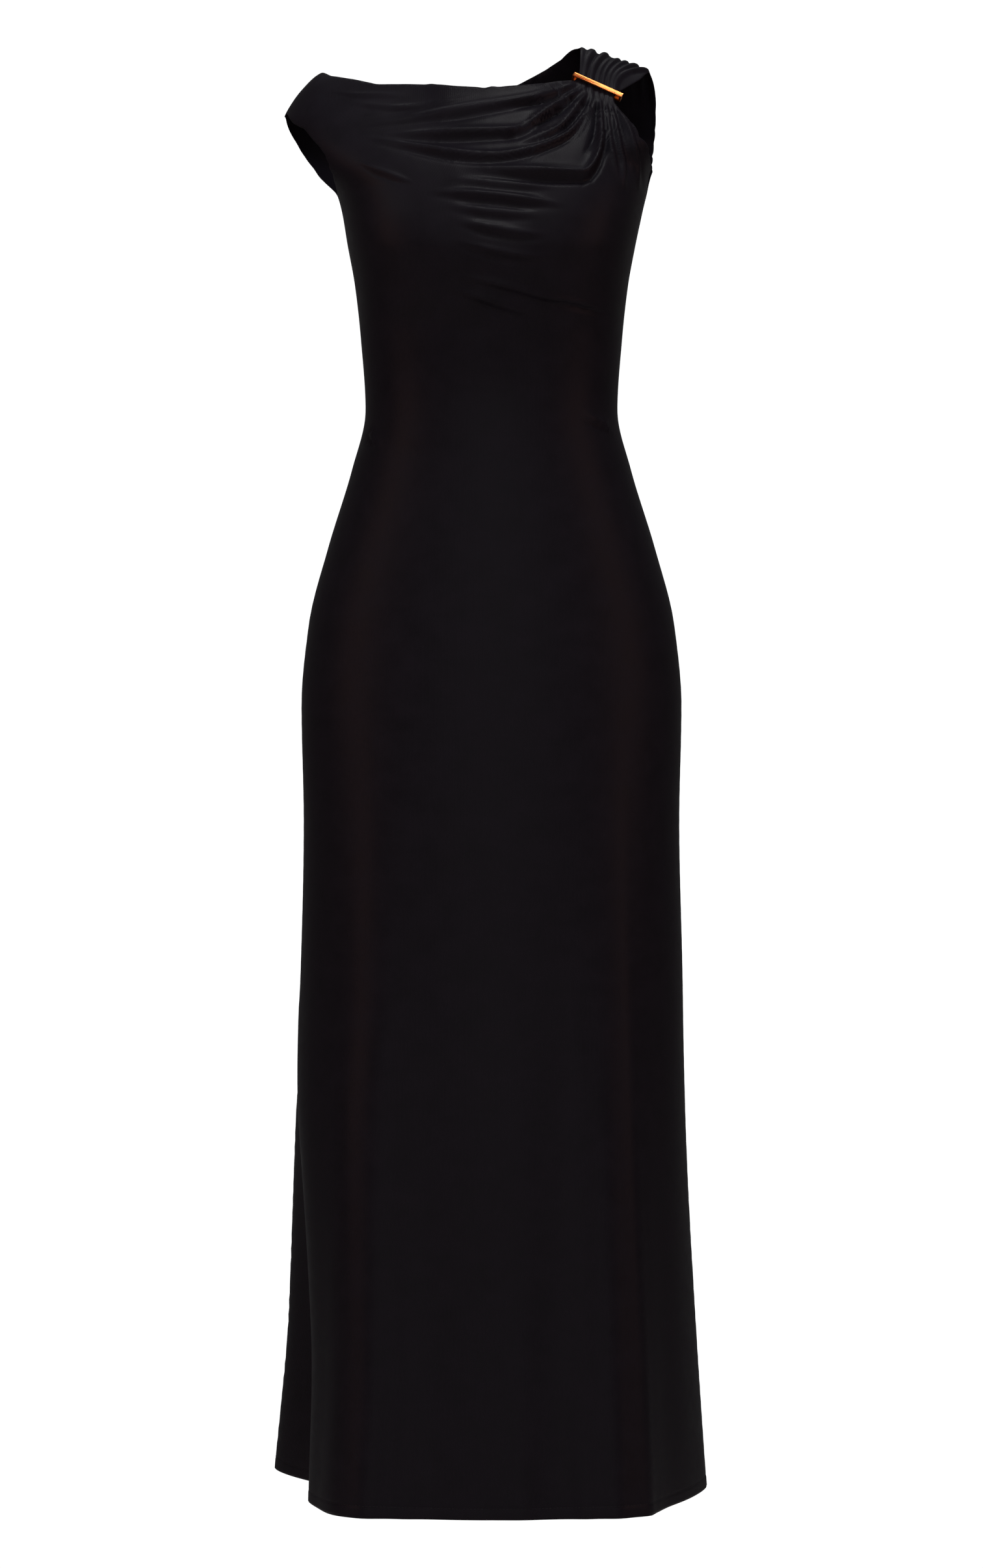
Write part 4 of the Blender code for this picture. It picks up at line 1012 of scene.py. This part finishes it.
def plated_metal():
    """Die-cast zinc, polished and plated in a warm gold: a soft polish that spreads what it mirrors."""
    material, tree, shader = new_material("gold-plated zinc, polished")
    place = add_node(tree, "ShaderNodeTexCoord").outputs["Object"]
    # polishing marks from 1.1 mm down to 0.3 mm apart, and cloudy tones about 8 mm apart
    marks = add_node(tree, "ShaderNodeTexNoise", {}, Vector=place, Scale=900.0, Detail=2.0)
    cloudy = add_node(tree, "ShaderNodeTexNoise", {}, Vector=place, Scale=120.0, Detail=2.0)
    tone = add_node(tree, "ShaderNodeMix", {"data_type": "RGBA"}, in0=cloudy.outputs["Fac"])
    tone.inputs[6].default_value = linear("#cc8044")
    tone.inputs[7].default_value = linear("#d88e52")
    tree.links.new(tone.outputs[2], shader.inputs["Base Color"])
    polish = add_node(
        tree,
        "ShaderNodeMapRange",
        {},
        Value=marks.outputs["Fac"],
        From_Min=0.3,
        From_Max=0.7,
        To_Min=0.30,
        To_Max=0.38,
    )
    tree.links.new(polish.outputs[0], shader.inputs["Roughness"])
    shader.inputs["Metallic"].default_value = 1.0
    bump = add_node(tree, "ShaderNodeBump", {}, Height=marks.outputs["Fac"], Strength=0.08, Distance=0.00002)
    tree.links.new(bump.outputs[0], shader.inputs["Normal"])
    return material


def area_light(name, place, aim, size, power, colour):
    light = bpy.data.lights.new(name, "AREA")
    light.shape = "RECTANGLE"
    light.size, light.size_y = size
    light.energy = power
    light.color = linear(colour)[:3]
    lamp = bpy.data.objects.new(name, light)
    lamp.location = place
    lamp.rotation_mode = "QUATERNION"
    lamp.rotation_quaternion = (Vector(aim) - Vector(place)).to_track_quat("-Z", "Y")
    bpy.context.scene.collection.objects.link(lamp)


def build_surround():
    """A white backdrop just behind the dress and dimmer grey all round it, as between black flags."""
    world = bpy.data.worlds.new("studio surround")
    world.use_nodes = True
    tree = world.node_tree
    toward = add_node(tree, "ShaderNodeTexCoord").outputs["Generated"]
    parts = add_node(tree, "ShaderNodeSeparateXYZ", {}, Vector=toward)
    up = add_node(tree, "ShaderNodeMath", {"operation": "ADD"}, in0=parts.outputs["Z"], in1=BACKDROP_DROP)
    shares = []
    for offset, reach in ((parts.outputs["X"], BACKDROP_ACROSS), (up.outputs[0], BACKDROP_UP)):
        away = add_node(tree, "ShaderNodeMath", {"operation": "ABSOLUTE"}, in0=offset)
        share = add_node(
            tree,
            "ShaderNodeMapRange",
            {},
            Value=away.outputs[0],
            From_Min=reach,
            From_Max=reach + BACKDROP_SOFT_EDGE,
            To_Min=1.0,
            To_Max=0.0,
        )
        shares.append(share.outputs[0])
    multiply = {"operation": "MULTIPLY"}
    box = add_node(tree, "ShaderNodeMath", multiply, in0=shares[0], in1=shares[1])
    ahead = add_node(tree, "ShaderNodeMath", {"operation": "GREATER_THAN"}, in0=parts.outputs["Y"], in1=0.0)
    behind = add_node(tree, "ShaderNodeMath", multiply, in0=box.outputs[0], in1=ahead.outputs[0])
    tone = add_node(tree, "ShaderNodeMix", {"data_type": "RGBA"}, in0=behind.outputs[0])
    tone.inputs[6].default_value = linear("#606060")
    tone.inputs[7].default_value = linear("#ffffff")
    background = tree.nodes["Background"]
    tree.links.new(tone.outputs[2], background.inputs["Color"])
    background.inputs["Strength"].default_value = 1.06
    bpy.context.scene.world = world


def build_studio():
    """A pale floor, a white backdrop and large soft lights."""
    place = (-HELD_AT[0], FLOOR_MIDDLE, -HELD_AT[2] - FLOOR_BELOW_HEM)
    bpy.ops.mesh.primitive_plane_add(size=FLOOR_SIZE, location=place)
    floor = bpy.context.object
    floor.name = "studio_floor"
    floor.select_set(False)
    material, tree, shader = new_material("matt white studio paint")
    place = add_node(tree, "ShaderNodeTexCoord").outputs["Object"]
    rolled = add_node(tree, "ShaderNodeTexNoise", {}, Vector=place, Scale=300.0, Detail=2.0)
    tone = add_node(tree, "ShaderNodeMix", {"data_type": "RGBA"}, in0=rolled.outputs["Fac"])
    tone.inputs[6].default_value = linear("#f4f4f4")
    tone.inputs[7].default_value = linear("#f6f6f6")
    tree.links.new(tone.outputs[2], shader.inputs["Base Color"])
    shader.inputs["Roughness"].default_value = 0.9
    floor.data.materials.append(material)
    build_surround()
    for light in LIGHTS:
        area_light(*light)


def build_camera():
    """Five metres in front and 0.8 m above the hem, with the photograph's narrow field of view."""
    camera = bpy.data.cameras.new("camera")
    camera.sensor_width = 36.0
    camera.lens = CAMERA_LENS
    camera.clip_end = 100.0
    seat = bpy.data.objects.new("camera", camera)
    place = Vector(CAMERA_PLACE) - Vector(HELD_AT)
    aim = Vector(CAMERA_AIM) - Vector(HELD_AT)
    seat.location = place
    seat.rotation_mode = "QUATERNION"
    seat.rotation_quaternion = (aim - place).to_track_quat("-Z", "Y")
    bpy.context.scene.collection.objects.link(seat)
    bpy.context.scene.camera = seat


def main():
    build_camera()
    build_studio()
    bpy.context.scene.view_settings.view_transform = "Standard"
    sewing_thread = thread()
    panels = {
        FRONT: build_panel("front_cloth", FRONT, jersey("black single jersey, front")),
        BACK: build_panel("back_cloth", BACK, jersey("black single jersey, back")),
    }
    stitches = {
        FRONT: build_stitches("front_hem_stitches", FRONT, sewing_thread),
        BACK: build_stitches("back_hem_stitches", BACK, sewing_thread),
    }
    for face, node in ((FRONT, "front"), (BACK, "back")):
        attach(panels[face], "root")
        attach(stitches[face], "root")
        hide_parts(node)
    slide = build_slide(plated_metal())
    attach(slide, "root")
    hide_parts("shoulder_slide")


main()
